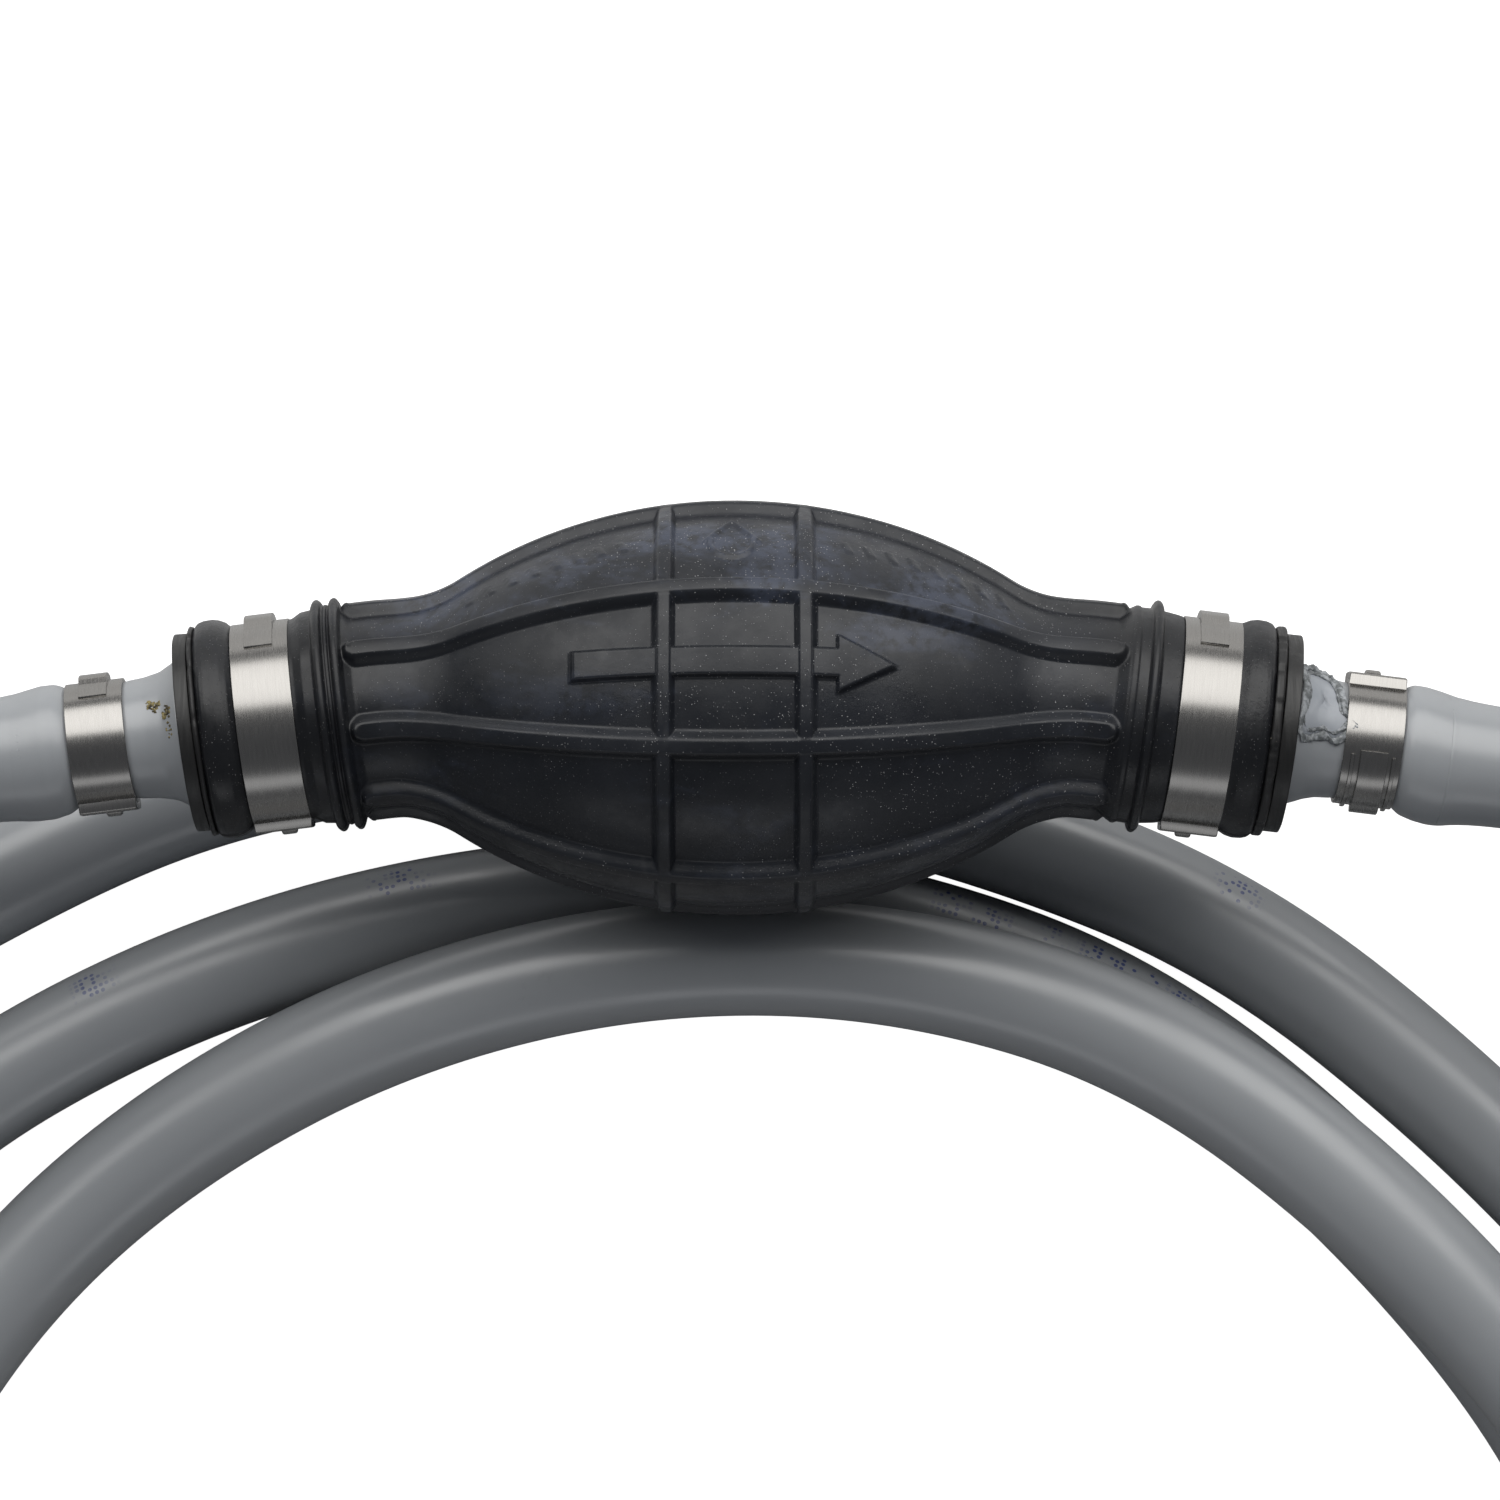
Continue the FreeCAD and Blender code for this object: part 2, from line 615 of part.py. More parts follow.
def hose_tail(label, start, end):
    """The free end of a hose, bored for the barb that it is pushed onto."""
    body = new_body(label)
    length = f"{(end - start).Length}"
    corners = [
        ("0", "0"),
        ("0", "hose_radius"),
        (length, "hose_radius"),
        (length, "hose_bore + mouth_chamfer"),
        (f"{length} - mouth_chamfer", "hose_bore"),
        (f"{length} - tail_depth", "hose_bore"),
        (f"{length} - tail_depth - drill_point", "0"),
    ]
    revolve(body, outline(body, label + "_outline", corners))
    body.Placement = FreeCAD.Placement(start, FreeCAD.Rotation(X_AXIS, end - start))
    node(label, body)


def halves(edge):
    """A straight edge as its two halves."""
    a, b = (v.Point for v in edge.Vertexes)
    middle = (a + b) * 0.5
    return Part.LineSegment(a, middle).toShape(), Part.LineSegment(middle, b).toShape()


def make_hose(side, route, names, cuts):
    """The hose beyond its swollen end: a tube in one or more nodes, and the bored tail."""
    exit_point = neck_frame(side).multVec(V(SIZES["cuff_end"], 0, 0))
    points = [exit_point] + [V(*p) for group in route for p in group]
    edges, radii = rounded(points)
    print(f"{side} hose radii in diameters:", [round(r / (2 * SIZES["hose_radius"]), 1) for r in radii])
    tail_start, tail_end = (v.Point for v in edges[-1].Vertexes)
    divided, pieces = 0, []
    for cut in cuts:
        before, after = halves(edges[2 * cut])
        pieces.append(edges[divided : 2 * cut] + [before])
        edges[2 * cut] = after
        divided = 2 * cut
    pieces.append(edges[divided:-1])
    for name, piece in zip(names, pieces):
        tube(name, piece)
    hose_tail(f"{side}_hose_tail", tail_start, tail_end)
    length = sum(e.Length for e in edges)
    print(f"{side} hose: {length:.0f} mm, tail from {tail_start} to {tail_end}")


def check_document():
    doc.recompute()
    failed = [o.Label for o in doc.Objects if {"Invalid", "Error"} & set(o.State)]
    if failed:
        raise SystemExit(f"these objects failed: {failed}")
    for label, feature in nodes.items():
        shape = feature.Shape
        if shape.isNull() or not shape.isValid() or not shape.Solids:
            raise SystemExit(f"{label} has no valid solid")


fill_sheet()
make_bulb()
for name in SIDES:
    make_neck(name)
    make_valve(name)
make_hose("inlet", INLET_ROUTE, INLET_NODES, INLET_CUTS)
make_hose("outlet", OUTLET_ROUTE, ("outlet_hose",), ())
check_document()
os.makedirs("parts", exist_ok=True)
for label, feature in nodes.items():
    feature.Shape.exportStep(f"parts/{label}.step")
print(len(nodes), "nodes written")
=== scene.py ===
"""The looks of a primer bulb and its hoses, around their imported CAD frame.

Lengths are in millimetres until a mesh is made.
"""

import math

import bmesh
import bpy
import numpy as np
from mathutils import Euler, Matrix, Vector


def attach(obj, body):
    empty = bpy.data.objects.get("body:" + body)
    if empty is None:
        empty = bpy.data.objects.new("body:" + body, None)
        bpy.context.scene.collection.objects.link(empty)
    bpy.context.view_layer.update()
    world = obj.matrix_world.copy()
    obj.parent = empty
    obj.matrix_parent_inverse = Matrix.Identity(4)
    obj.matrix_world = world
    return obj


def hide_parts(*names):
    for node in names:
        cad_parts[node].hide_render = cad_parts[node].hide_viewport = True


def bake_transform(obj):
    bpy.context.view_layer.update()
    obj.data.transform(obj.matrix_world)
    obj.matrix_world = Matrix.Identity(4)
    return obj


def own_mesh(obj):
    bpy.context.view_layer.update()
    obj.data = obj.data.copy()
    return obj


MM = 0.001
TAU = 2 * math.pi
FLOOR_Z = -45.35
HOSE_RADIUS, BORE_RADIUS = 8.35, 4.76
GIRTH_RADIUS = 14.0  # turns an angle round a neck into millimetres, for the brushed lines in the steel

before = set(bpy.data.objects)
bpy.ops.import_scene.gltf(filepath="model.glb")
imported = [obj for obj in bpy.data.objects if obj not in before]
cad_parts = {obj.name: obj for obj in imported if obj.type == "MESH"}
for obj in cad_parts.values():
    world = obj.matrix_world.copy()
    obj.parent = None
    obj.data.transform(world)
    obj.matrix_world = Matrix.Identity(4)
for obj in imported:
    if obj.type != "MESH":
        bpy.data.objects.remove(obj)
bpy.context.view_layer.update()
scene = bpy.context.scene


# ---------------------------------------------------------------- camera, light and floor


def make_camera():
    """Straight above the bulb, looking down."""
    data = bpy.data.cameras.new("camera")
    data.lens, data.sensor_width = 154.3, 36.0
    data.clip_start, data.clip_end = 0.01, 20
    camera = bpy.data.objects.new("camera", data)
    camera.location = (0.0021, -0.0059, 0.9)
    scene.collection.objects.link(camera)
    scene.camera = camera


def area_light(name, place, aim, size, power, colour):
    """A rectangular lamp at place that faces aim."""
    data = bpy.data.lights.new(name, "AREA")
    data.shape = "RECTANGLE"
    data.size, data.size_y = size
    data.energy, data.color = power, colour
    lamp = bpy.data.objects.new(name, data)
    lamp.location = place
    way = Vector(aim) - Vector(place)
    lamp.rotation_euler = way.to_track_quat("-Z", "Y").to_euler()
    scene.collection.objects.link(lamp)


def make_lights():
    """A wide softbox behind the bulb, a weak low lamp in front of it and a dim grey surround."""
    area_light("softbox", (0.0, 0.93, 0.89), (0, -0.02, 0), (2.9, 1.36), 32.5, (1.0, 0.99, 0.97))
    area_light("low_fill", (0.0, -1.2, 0.42), (0, -0.05, 0), (1.4, 0.35), 1.35, (0.97, 0.98, 1.0))
    world = bpy.data.worlds.new("studio")
    world.use_nodes = True
    background = world.node_tree.nodes["Background"]
    background.inputs["Color"].default_value = (0.125, 0.13, 0.14, 1)
    background.inputs["Strength"].default_value = 1.0
    scene.world = world


# ---------------------------------------------------------------- materials


class Look:
    """A procedural material on one Principled shader, with short ways to add the nodes that drive it."""

    def __init__(self, name, colour, rough, metallic=0.0, specular=0.5):
        self.material = bpy.data.materials.new(name)
        self.material.use_nodes = True
        self.tree = self.material.node_tree
        self.shader = self.tree.nodes["Principled BSDF"]
        self.shader.inputs["Base Color"].default_value = (*colour, 1)
        self.shader.inputs["Roughness"].default_value = rough
        self.shader.inputs["Metallic"].default_value = metallic
        self.shader.inputs["Specular IOR Level"].default_value = specular
        self.place = self.node("ShaderNodeTexCoord").outputs["Object"]

    def node(self, kind, **settings):
        made = self.tree.nodes.new(kind)
        for key, value in settings.items():
            setattr(made, key, value)
        return made

    def feed(self, socket, value):
        if isinstance(value, bpy.types.NodeSocket):
            self.tree.links.new(value, socket)
        else:
            socket.default_value = value

    def scaled(self, factors, turn=(0, 0, 0)):
        mapping = self.node("ShaderNodeMapping")
        self.feed(mapping.inputs["Vector"], self.place)
        mapping.inputs["Scale"].default_value = factors
        mapping.inputs["Rotation"].default_value = turn
        return mapping.outputs["Vector"]

    def noise(self, scale, detail=3.0, rough=0.55, source=None, distortion=0.0):
        made = self.node("ShaderNodeTexNoise")
        self.feed(made.inputs["Vector"], source or self.place)
        made.inputs["Scale"].default_value = scale
        made.inputs["Detail"].default_value = detail
        made.inputs["Roughness"].default_value = rough
        made.inputs["Distortion"].default_value = distortion
        return made.outputs["Fac"]

    def cells(self, scale):
        made = self.node("ShaderNodeTexVoronoi")
        self.feed(made.inputs["Vector"], self.place)
        made.inputs["Scale"].default_value = scale
        return made

    def span(self, value, low, high, to_low=0.0, to_high=1.0):
        """The range from low to high, mapped smoothly onto to_low to to_high."""
        made = self.node("ShaderNodeMapRange", interpolation_type="SMOOTHSTEP")
        self.feed(made.inputs["Value"], value)
        for name, number in zip(("From Min", "From Max", "To Min", "To Max"), (low, high, to_low, to_high)):
            made.inputs[name].default_value = number
        return made.outputs["Result"]

    def maths(self, operation, a, b=0.0):
        made = self.node("ShaderNodeMath", operation=operation)
        for socket, value in zip(made.inputs, (a, b)):
            self.feed(socket, value)
        return made.outputs["Value"]

    def times(self, a, b):
        return self.maths("MULTIPLY", a, b)

    def mix(self, share, a, b):
        made = self.node("ShaderNodeMix", data_type="RGBA")
        self.feed(made.inputs["Factor"], share)
        for socket, value in zip(made.inputs[6:8], (a, b)):
            self.feed(socket, value if isinstance(value, bpy.types.NodeSocket) else (*value, 1))
        return made.outputs[2]

    def attribute(self, name):
        return self.node("ShaderNodeAttribute", attribute_name=name).outputs["Fac"]

    def set(self, name, value):
        self.feed(self.shader.inputs[name], value)

    def bump(self, height, strength, distance_mm, normal=None):
        made = self.node("ShaderNodeBump")
        made.inputs["Strength"].default_value = strength
        made.inputs["Distance"].default_value = distance_mm * MM
        self.feed(made.inputs["Height"], height)
        if normal is not None:
            self.feed(made.inputs["Normal"], normal)
        self.feed(self.shader.inputs["Normal"], made.outputs["Normal"])
        return made.outputs["Normal"]

    def specks(self, scale, size, share, breakup):
        """Scattered dots: small cells, of which only a share is kept, in patches."""
        cells = self.cells(scale)
        dot = self.span(cells.outputs["Distance"], size, size * 0.45)
        kept = self.span(self.first_channel(cells.outputs["Color"]), 1 - share, 1 - share + 0.01)
        return self.times(self.times(dot, kept), breakup)

    def first_channel(self, colour):
        made = self.node("ShaderNodeSeparateColor")
        self.feed(made.inputs["Color"], colour)
        return made.outputs[0]


def bulb_look():
    """Black rubber with a pale bluish haze, partly real bloom and partly painted sheen that is strongest
    towards +Y, the lit side, and grainy patches and dust.
    """
    look = Look("bulb_rubber", (0.010, 0.0115, 0.014), 0.42, specular=0.4)
    cloud = look.noise(26, 4, 0.6)
    fine = look.noise(420, 4, 0.65)
    drifts = look.noise(62, 5, 0.62, look.scaled((0.55, 1.3, 1.0), (0, 0, 0.25)), 0.5)
    bloom_and_sheen = look.times(look.span(drifts, 0.51, 0.66), look.span(fine, 0.34, 0.56))
    # Painted sheen: the pale haze is kept at full strength towards +Y, where the light falls, and cut to 30
    # percent on the shaded -Y side.
    lit_side = look.attribute("lit_side")
    bloom_and_sheen = look.times(bloom_and_sheen, look.span(lit_side, 0.0, 1.0, 0.30, 1.0))
    base = look.mix(look.span(cloud, 0.3, 0.7), (0.0068, 0.0082, 0.0112), (0.0185, 0.0208, 0.0265))
    base = look.mix(bloom_and_sheen, base, (0.042, 0.050, 0.074))
    scuff = look.span(look.noise(150, 3, 0.7, look.scaled((1.0, 0.35, 1.0))), 0.62, 0.75, 0.0, 0.35)
    base = look.mix(scuff, base, (0.055, 0.056, 0.058))
    patches = look.span(look.noise(34, 2, 0.5), 0.42, 0.62, 0.15, 1.0)
    dust = look.specks(1500, 0.14, 0.07, patches)
    dust = look.maths("MAXIMUM", dust, look.specks(2600, 0.28, 0.09, patches))
    dust = look.maths("MAXIMUM", dust, look.times(look.specks(3900, 0.34, 0.10, patches), 0.6))
    base = look.mix(dust, base, (0.46, 0.46, 0.47))
    # Painted shade: the necks are darkened, which also hides most of their dust, so they come out blacker
    # than the belly.
    parts = look.node("ShaderNodeSeparateXYZ")
    look.feed(parts.inputs["Vector"], look.place)
    neck = look.span(look.maths("ABSOLUTE", parts.outputs["X"]), 0.044, 0.056, 0.0, 0.7)
    base = look.mix(neck, base, (0.004, 0.0042, 0.0048))
    look.set("Base Color", base)
    rough = look.span(look.noise(130, 5, 0.65), 0.32, 0.68, 0.28, 0.50)
    look.set("Roughness", look.maths("MAXIMUM", rough, look.times(dust, 0.8)))
    smooth = look.bump(look.noise(260, 5, 0.6), 0.30, 0.08)
    # Grainy areas, where the mould or handling has left the skin coarser.
    grainy = look.span(look.noise(40, 3, 0.6, look.scaled((0.6, 1.3, 1.0))), 0.50, 0.62, 0.25, 1.0)
    grain = look.times(look.noise(1300, 4, 0.7), grainy)
    look.bump(look.maths("ADD", grain, look.times(dust, 1.2)), 0.9, 0.08, smooth)
    return look.material


def worn_look(name, colour, scratch=0.6):
    """Dull black moulding with rubbed edges and scratches that run round it."""
    look = Look(name, colour, 0.55)
    round_it = look.scaled((1.0, 0.05, 0.05))
    streaks = look.noise(2200, 3, 0.7, round_it)
    marks = look.span(look.noise(180, 5, 0.7), 0.56, 0.74)
    wear = look.times(marks, look.span(streaks, 0.4, 0.65))
    light = tuple(min(1.0, c * 4.5 + 0.02) for c in colour)
    base = look.mix(look.times(wear, scratch), colour, light)
    grit = look.specks(1300, 0.2, 0.05, look.span(look.noise(90), 0.5, 0.65))
    base = look.mix(grit, base, (0.30, 0.28, 0.25))
    look.set("Base Color", base)
    look.set("Roughness", look.span(streaks, 0.3, 0.7, 0.34, 0.55))
    look.bump(look.maths("ADD", look.noise(700, 4, 0.65), look.times(wear, 0.6)), 0.35, 0.10)
    return look.material


def hose_look():
    """Grey hose with smears, dirt and groups of ink dots."""
    look = Look("hose_rubber", (0.28, 0.29, 0.305), 0.32, specular=1.0)
    broad = look.noise(9, 3, 0.5)
    base = look.mix(look.span(broad, 0.3, 0.7), (0.262, 0.276, 0.292), (0.292, 0.306, 0.322))
    smear = look.span(look.noise(55, 5, 0.6, look.scaled((0.5, 1.4, 1.0))), 0.6, 0.78, 0.0, 0.35)
    base = look.mix(smear, base, (0.345, 0.357, 0.37))
    dirt = look.span(look.noise(120, 5, 0.7), 0.66, 0.8, 0.0, 0.4)
    base = look.mix(dirt, base, (0.15, 0.155, 0.16))
    along, around = look.attribute("along"), look.attribute("around")
    # Scattered dots of blue ink in short groups, which spell nothing.
    spot = look.node("ShaderNodeCombineXYZ")
    look.feed(spot.inputs["X"], look.times(along, 1150.0))
    look.feed(spot.inputs["Y"], look.times(around, 9.0))
    dots = look.node("ShaderNodeTexVoronoi", voronoi_dimensions="2D")
    look.feed(dots.inputs["Vector"], spot.outputs["Vector"])
    dots.inputs["Scale"].default_value = 1.0
    dots.inputs["Randomness"].default_value = 0.12
    ink = look.span(dots.outputs["Distance"], 0.40, 0.30)
    ink = look.times(ink, look.maths("GREATER_THAN", look.first_channel(dots.outputs["Color"]), 0.5))
    band = look.span(look.maths("ABSOLUTE", look.maths("SUBTRACT", around, 0.80)), 0.30, 0.28)
    faded = look.span(look.noise(260, 3, 0.6), 0.36, 0.5, 0.25, 0.9)
    faded = look.times(faded, look.attribute("printed"))
    ink = look.times(look.times(ink, band), faded)
    base = look.mix(ink, base, (0.012, 0.03, 0.17))
    look.set("Base Color", base)
    rough = look.span(look.noise(38, 4, 0.6), 0.3, 0.7, 0.28, 0.38)
    look.set("Roughness", rough)
    soft = look.bump(look.noise(90, 3, 0.5), 0.12, 0.25)
    look.bump(look.noise(1900, 3, 0.6), 0.10, 0.03, soft)
    return look.material


def torn_look():
    """The rough folds round the tear."""
    look = Look("torn_skin", (0.25, 0.27, 0.29), 0.5)
    base = look.mix(look.span(look.noise(700, 5, 0.7), 0.42, 0.62), (0.12, 0.13, 0.135), (0.36, 0.38, 0.40))
    look.set("Base Color", base)
    look.bump(look.noise(900, 5, 0.7), 0.7, 0.2)
    return look.material


def bare_look():
    """The paler inner layer of the hose that shows through the tear."""
    look = Look("inner_skin", (0.30, 0.32, 0.35), 0.38)
    base = look.mix(look.span(look.noise(160, 3, 0.5), 0.35, 0.65), (0.27, 0.29, 0.32), (0.34, 0.36, 0.39))
    look.set("Base Color", base)
    look.bump(look.noise(300, 3, 0.5), 0.15, 0.1)
    return look.material


def steel_look():
    """Strip steel with rolling lines round the band. station and turn are millimetres across and round."""
    look = Look("brushed_steel", (0.30, 0.29, 0.275), 0.24, 1.0)
    combined = look.node("ShaderNodeCombineXYZ")
    look.feed(combined.inputs["X"], look.attribute("station"))
    look.feed(combined.inputs["Y"], look.times(look.attribute("turn"), 0.035))
    brushed = combined.outputs["Vector"]
    fine = look.noise(9.0, 3, 0.7, brushed)
    broad = look.noise(1.6, 3, 0.6, brushed)
    stain = look.span(look.noise(230, 5, 0.7), 0.60, 0.76, 0.0, 0.8)
    stain = look.times(stain, look.span(look.noise(70), 0.48, 0.62))
    base = look.mix(look.span(fine, 0.3, 0.7), (0.275, 0.267, 0.256), (0.316, 0.308, 0.296))
    base = look.mix(look.span(broad, 0.35, 0.65, 0.0, 0.35), base, (0.325, 0.316, 0.302))
    base = look.mix(stain, base, (0.09, 0.08, 0.07))
    look.set("Base Color", base)
    look.set("Roughness", look.span(fine, 0.3, 0.7, 0.24, 0.28))
    look.bump(look.maths("ADD", fine, look.times(broad, 0.5)), 0.010, 0.02)
    return look.material


def residue_look():
    """Dried fuel gum."""
    look = Look("dried_residue", (0.16, 0.12, 0.04), 0.7)
    base = look.mix(look.span(look.noise(1100, 4, 0.6), 0.4, 0.6), (0.05, 0.04, 0.02), (0.27, 0.22, 0.09))
    look.set("Base Color", base)
    look.bump(look.noise(1500, 4, 0.6), 0.8, 0.2)
    return look.material


def valve_look():
    """Off-white plastic for the valves."""
    look = Look("acetal", (0.72, 0.71, 0.67), 0.35)
    base = look.mix(look.span(look.noise(220, 3), 0.35, 0.65), (0.66, 0.65, 0.60), (0.76, 0.75, 0.71))
    look.set("Base Color", base)
    look.bump(look.noise(900, 3), 0.12, 0.05)
    return look.material


def wire_look():
    """Bright wire for the valves' springs."""
    look = Look("spring_wire", (0.62, 0.62, 0.62), 0.25, 1.0)
    look.set("Roughness", look.span(look.noise(900, 3), 0.3, 0.7, 0.18, 0.34))
    return look.material


def floor_look():
    """A table whose colour carries painted shade towards -Y and painted light towards +Y, which sets the
    light it gives back to the object, and is clean white in the picture.
    """
    look = Look("pale_floor", (0.45, 0.45, 0.45), 0.8, specular=0.1)
    parts = look.node("ShaderNodeSeparateXYZ")
    look.feed(parts.inputs["Vector"], look.place)
    # Painted light and shade: dark towards -Y, where the object's shadow falls, and pale towards +Y, where
    # the softbox light falls.
    back = look.span(parts.outputs["Y"], -0.02, 0.06)
    look.set("Base Color", look.mix(back, (0.32, 0.32, 0.32), (0.90, 0.90, 0.90)))
    look.set("Emission Color", (1.0, 1.0, 1.0, 1.0))
    look.set("Emission Strength", look.node("ShaderNodeLightPath").outputs["Is Camera Ray"])
    return look.material


LOOKS = {
    "bulb": bulb_look(),
    "gasket": worn_look("gasket_rubber", (0.007, 0.007, 0.0075), 0.8),
    "fitting": worn_look("fitting_plastic", (0.009, 0.009, 0.009)),
    "hose": hose_look(),
    "torn": torn_look(),
    "bare": bare_look(),
    "steel": steel_look(),
    "residue": residue_look(),
    "valve": valve_look(),
    "seal": worn_look("seal_rubber", (0.015, 0.015, 0.015), 0.3),
    "wire": wire_look(),
    "floor": floor_look(),
}


# ---------------------------------------------------------------- meshes


def smoothstep(t):
    """0 below 0 and 1 above 1, with a smooth rise between."""
    t = np.clip(t, 0.0, 1.0)
    return t * t * (3 - 2 * t)


def grid_mesh(name, points, look, attributes=(), capped=False):
    """A closed mesh over a grid of points in millimetres, rows by columns, with quads between neighbours.

    Each row joins up with itself. The last row joins the first, or else both are capped.
    """
    rows, columns = points.shape[:2]
    index = np.arange(rows * columns).reshape(rows, columns)
    down = index[1:] if capped else np.roll(index, -1, 0)
    here = index[:-1] if capped else index
    quads = np.stack([here, np.roll(here, -1, 1), np.roll(down, -1, 1), down], -1)
    faces = quads.reshape(-1, 4)
    mesh = bpy.data.meshes.new(name)
    mesh.vertices.add(rows * columns)
    mesh.vertices.foreach_set("co", (points * MM).astype(np.float32).ravel())
    mesh.loops.add(faces.size)
    mesh.loops.foreach_set("vertex_index", faces.astype(np.int32).ravel())
    mesh.polygons.add(len(faces))
    mesh.polygons.foreach_set("loop_start", np.arange(0, faces.size, 4, dtype=np.int32))
    mesh.update(calc_edges=True)
    for key, values in attributes:
        layer = mesh.attributes.new(key, "FLOAT", "POINT")
        layer.data.foreach_set("value", np.broadcast_to(values, (rows, columns)).astype(np.float32).ravel())
    made = bpy.data.objects.new(name, mesh)
    scene.collection.objects.link(made)
    mesh.materials.append(look)
    if capped:
        work = bmesh.new()
        work.from_mesh(mesh)
        bmesh.ops.holes_fill(work, edges=[e for e in work.edges if e.is_boundary], sides=0)
        bmesh.ops.recalc_face_normals(work, faces=work.faces)
        work.to_mesh(mesh)
        work.free()
    else:
        outward(mesh)
    mesh.polygons.foreach_set("use_smooth", np.ones(len(mesh.polygons), bool))
    mesh.update()
    return made


def outward(mesh):
    """Turns a closed mesh's faces outward, by the sign of its volume."""
    mesh.calc_loop_triangles()
    co = np.empty(len(mesh.vertices) * 3)
    mesh.vertices.foreach_get("co", co)
    co = co.reshape(-1, 3)
    corners = np.empty(len(mesh.loop_triangles) * 3, np.int32)
    mesh.loop_triangles.foreach_get("vertices", corners)
    a, b, c = (co[corners.reshape(-1, 3)[:, k]] for k in range(3))
    if np.einsum("ij,ij->i", a, np.cross(b, c)).sum() < 0:
        mesh.flip_normals()


def softened(corners, reach):
    """The closed outline with each corner rounded."""
    out = []
    count, steps = len(corners), 5
    for i, corner in enumerate(corners):
        here = np.array(corner, float)
        before = np.array(corners[i - 1], float) - here
        after = np.array(corners[(i + 1) % count], float) - here
        a = here + before * min(0.48, reach / np.linalg.norm(before))
        b = here + after * min(0.48, reach / np.linalg.norm(after))
        for t in np.linspace(0, 1, steps):
            out.append(a * (1 - t) ** 2 + here * 2 * t * (1 - t) + b * t * t)
    return np.array(out)


# ---------------------------------------------------------------- the neck frames

HALF = 47.7  # from the bulb's middle to the start of each neck
TILT = math.radians(7)  # how far each neck leans towards -Y
BEND = 4.0  # half of the length over which the axis turns
SIGN = {"inlet": -1, "outlet": 1}


def tilt_at(s):
    """How far the axis has turned at each station."""
    return TILT * smoothstep((np.abs(s) - HALF + BEND) / (2 * BEND))


def axis_point(s):
    """Centre and the direction across, towards +Y, at each station along the bent axis."""
    fine = np.linspace(0, 80, 4001)
    tilt = tilt_at(fine)
    step = fine[1] - fine[0]
    x = np.concatenate([[0], np.cumsum(np.cos(tilt[1:] / 2 + tilt[:-1] / 2)) * step])
    y = -np.concatenate([[0], np.cumsum(np.sin(tilt[1:] / 2 + tilt[:-1] / 2)) * step])
    sign = np.sign(s)
    far = np.abs(s)
    tilt = tilt_at(far)
    centre = np.stack([np.interp(far, fine, x) * sign, np.interp(far, fine, y), np.zeros_like(far)], -1)
    across = np.stack([np.sin(tilt) * sign, np.cos(tilt), np.zeros_like(far)], -1)
    return centre, across


def neck_points(side, station, radius, turn):
    """Points beside a neck. turn is the angle from +Z towards +Y, in radians. The three broadcast."""
    station, radius, turn = np.broadcast_arrays(station, radius, turn)
    way = np.array([SIGN[side] * math.cos(TILT), -math.sin(TILT), 0])
    across = np.array([SIGN[side] * math.sin(TILT), math.cos(TILT), 0])
    kink = np.array([SIGN[side] * HALF, 0, 0])
    lift = radius * np.cos(turn)
    return (
        kink
        + station[..., None] * way
        + (radius * np.sin(turn))[..., None] * across
        + lift[..., None] * np.array([0, 0, 1.0])
    )


DROOP = {"inlet": 0.6, "outlet": 1.1}  # how far each hose end hangs towards -Y


def lathe(name, side, outline, look, segments, shape=None, droop=False):
    """A closed outline of (station, radius) turned round a neck.

    shape may push each point out by its place, and droop lets the far end hang towards -Y.
    """
    turn = np.linspace(0, TAU, segments, endpoint=False)[None, :]
    station, radius = outline[:, :1], outline[:, 1:2]
    if shape is not None:
        d_station, d_radius = shape(station, radius, turn)
        station, radius = station + d_station, radius + d_radius
    points = neck_points(side, station, radius, turn)
    if droop:
        points[..., 1] -= DROOP[side] * smoothstep((np.broadcast_to(station, points.shape[:2]) - 44) / 9)
    return grid_mesh(name, points, look, attributes=(("station", station), ("turn", turn * GIRTH_RADIUS)))


def strap(name, side, middle, width, spans, look, round_off):
    """A curved strip round a neck. spans is a list of (turn in degrees, inner radius, outer radius)."""
    # A second section close to each end keeps the end's edge sharp.
    first, last = spans[0], spans[-1]
    after_first = (first[0] * 0.99 + spans[1][0] * 0.01, *first[1:])
    before_last = (last[0] * 0.99 + spans[-2][0] * 0.01, *last[1:])
    spans = [first, after_first, *spans[1:-1], before_last, last]
    rows = []
    stations = []
    for degrees, low, high in spans:
        box = softened(
            [
                (middle - width / 2, low),
                (middle - width / 2, high),
                (middle + width / 2, high),
                (middle + width / 2, low),
            ],
            min(round_off, 0.45 * max(high - low, 0.02)),
        )
        rows.append(neck_points(side, box[:, 0], box[:, 1], math.radians(degrees)))
        stations.append(box[:, 0])
    turn = np.radians([s[0] for s in spans])[:, None] * GIRTH_RADIUS
    return grid_mesh(
        name,
        np.array(rows),
        look,
        attributes=(("station", np.array(stations)), ("turn", turn)),
        capped=True,
    )


# ---------------------------------------------------------------- the bulb

# Places round the bulb are turns from +Z towards +Y.
ARROW_TURN = math.radians(13)
RIB_TURNS = [80.5, 35.2, -11.0, -55.4, -99.5, -144.5, -189.5, -234.5]


def belly(x):
    """The belly's radius: a wide arc that meets a small hollow one at each neck."""
    big, crown, neck = 72.0, 27.6, 13.7
    lean = 2 * math.atan((crown - neck) / HALF)
    small = HALF / math.sin(lean) - big
    x = np.abs(x)
    arc = crown - big + np.sqrt(np.maximum(big**2 - x**2, 0))
    hollow = neck + small - np.sqrt(np.maximum(small**2 - np.minimum(HALF - x, small) ** 2, 0))
    return np.where(x < big * math.sin(lean), arc, np.where(x < HALF, hollow, neck))


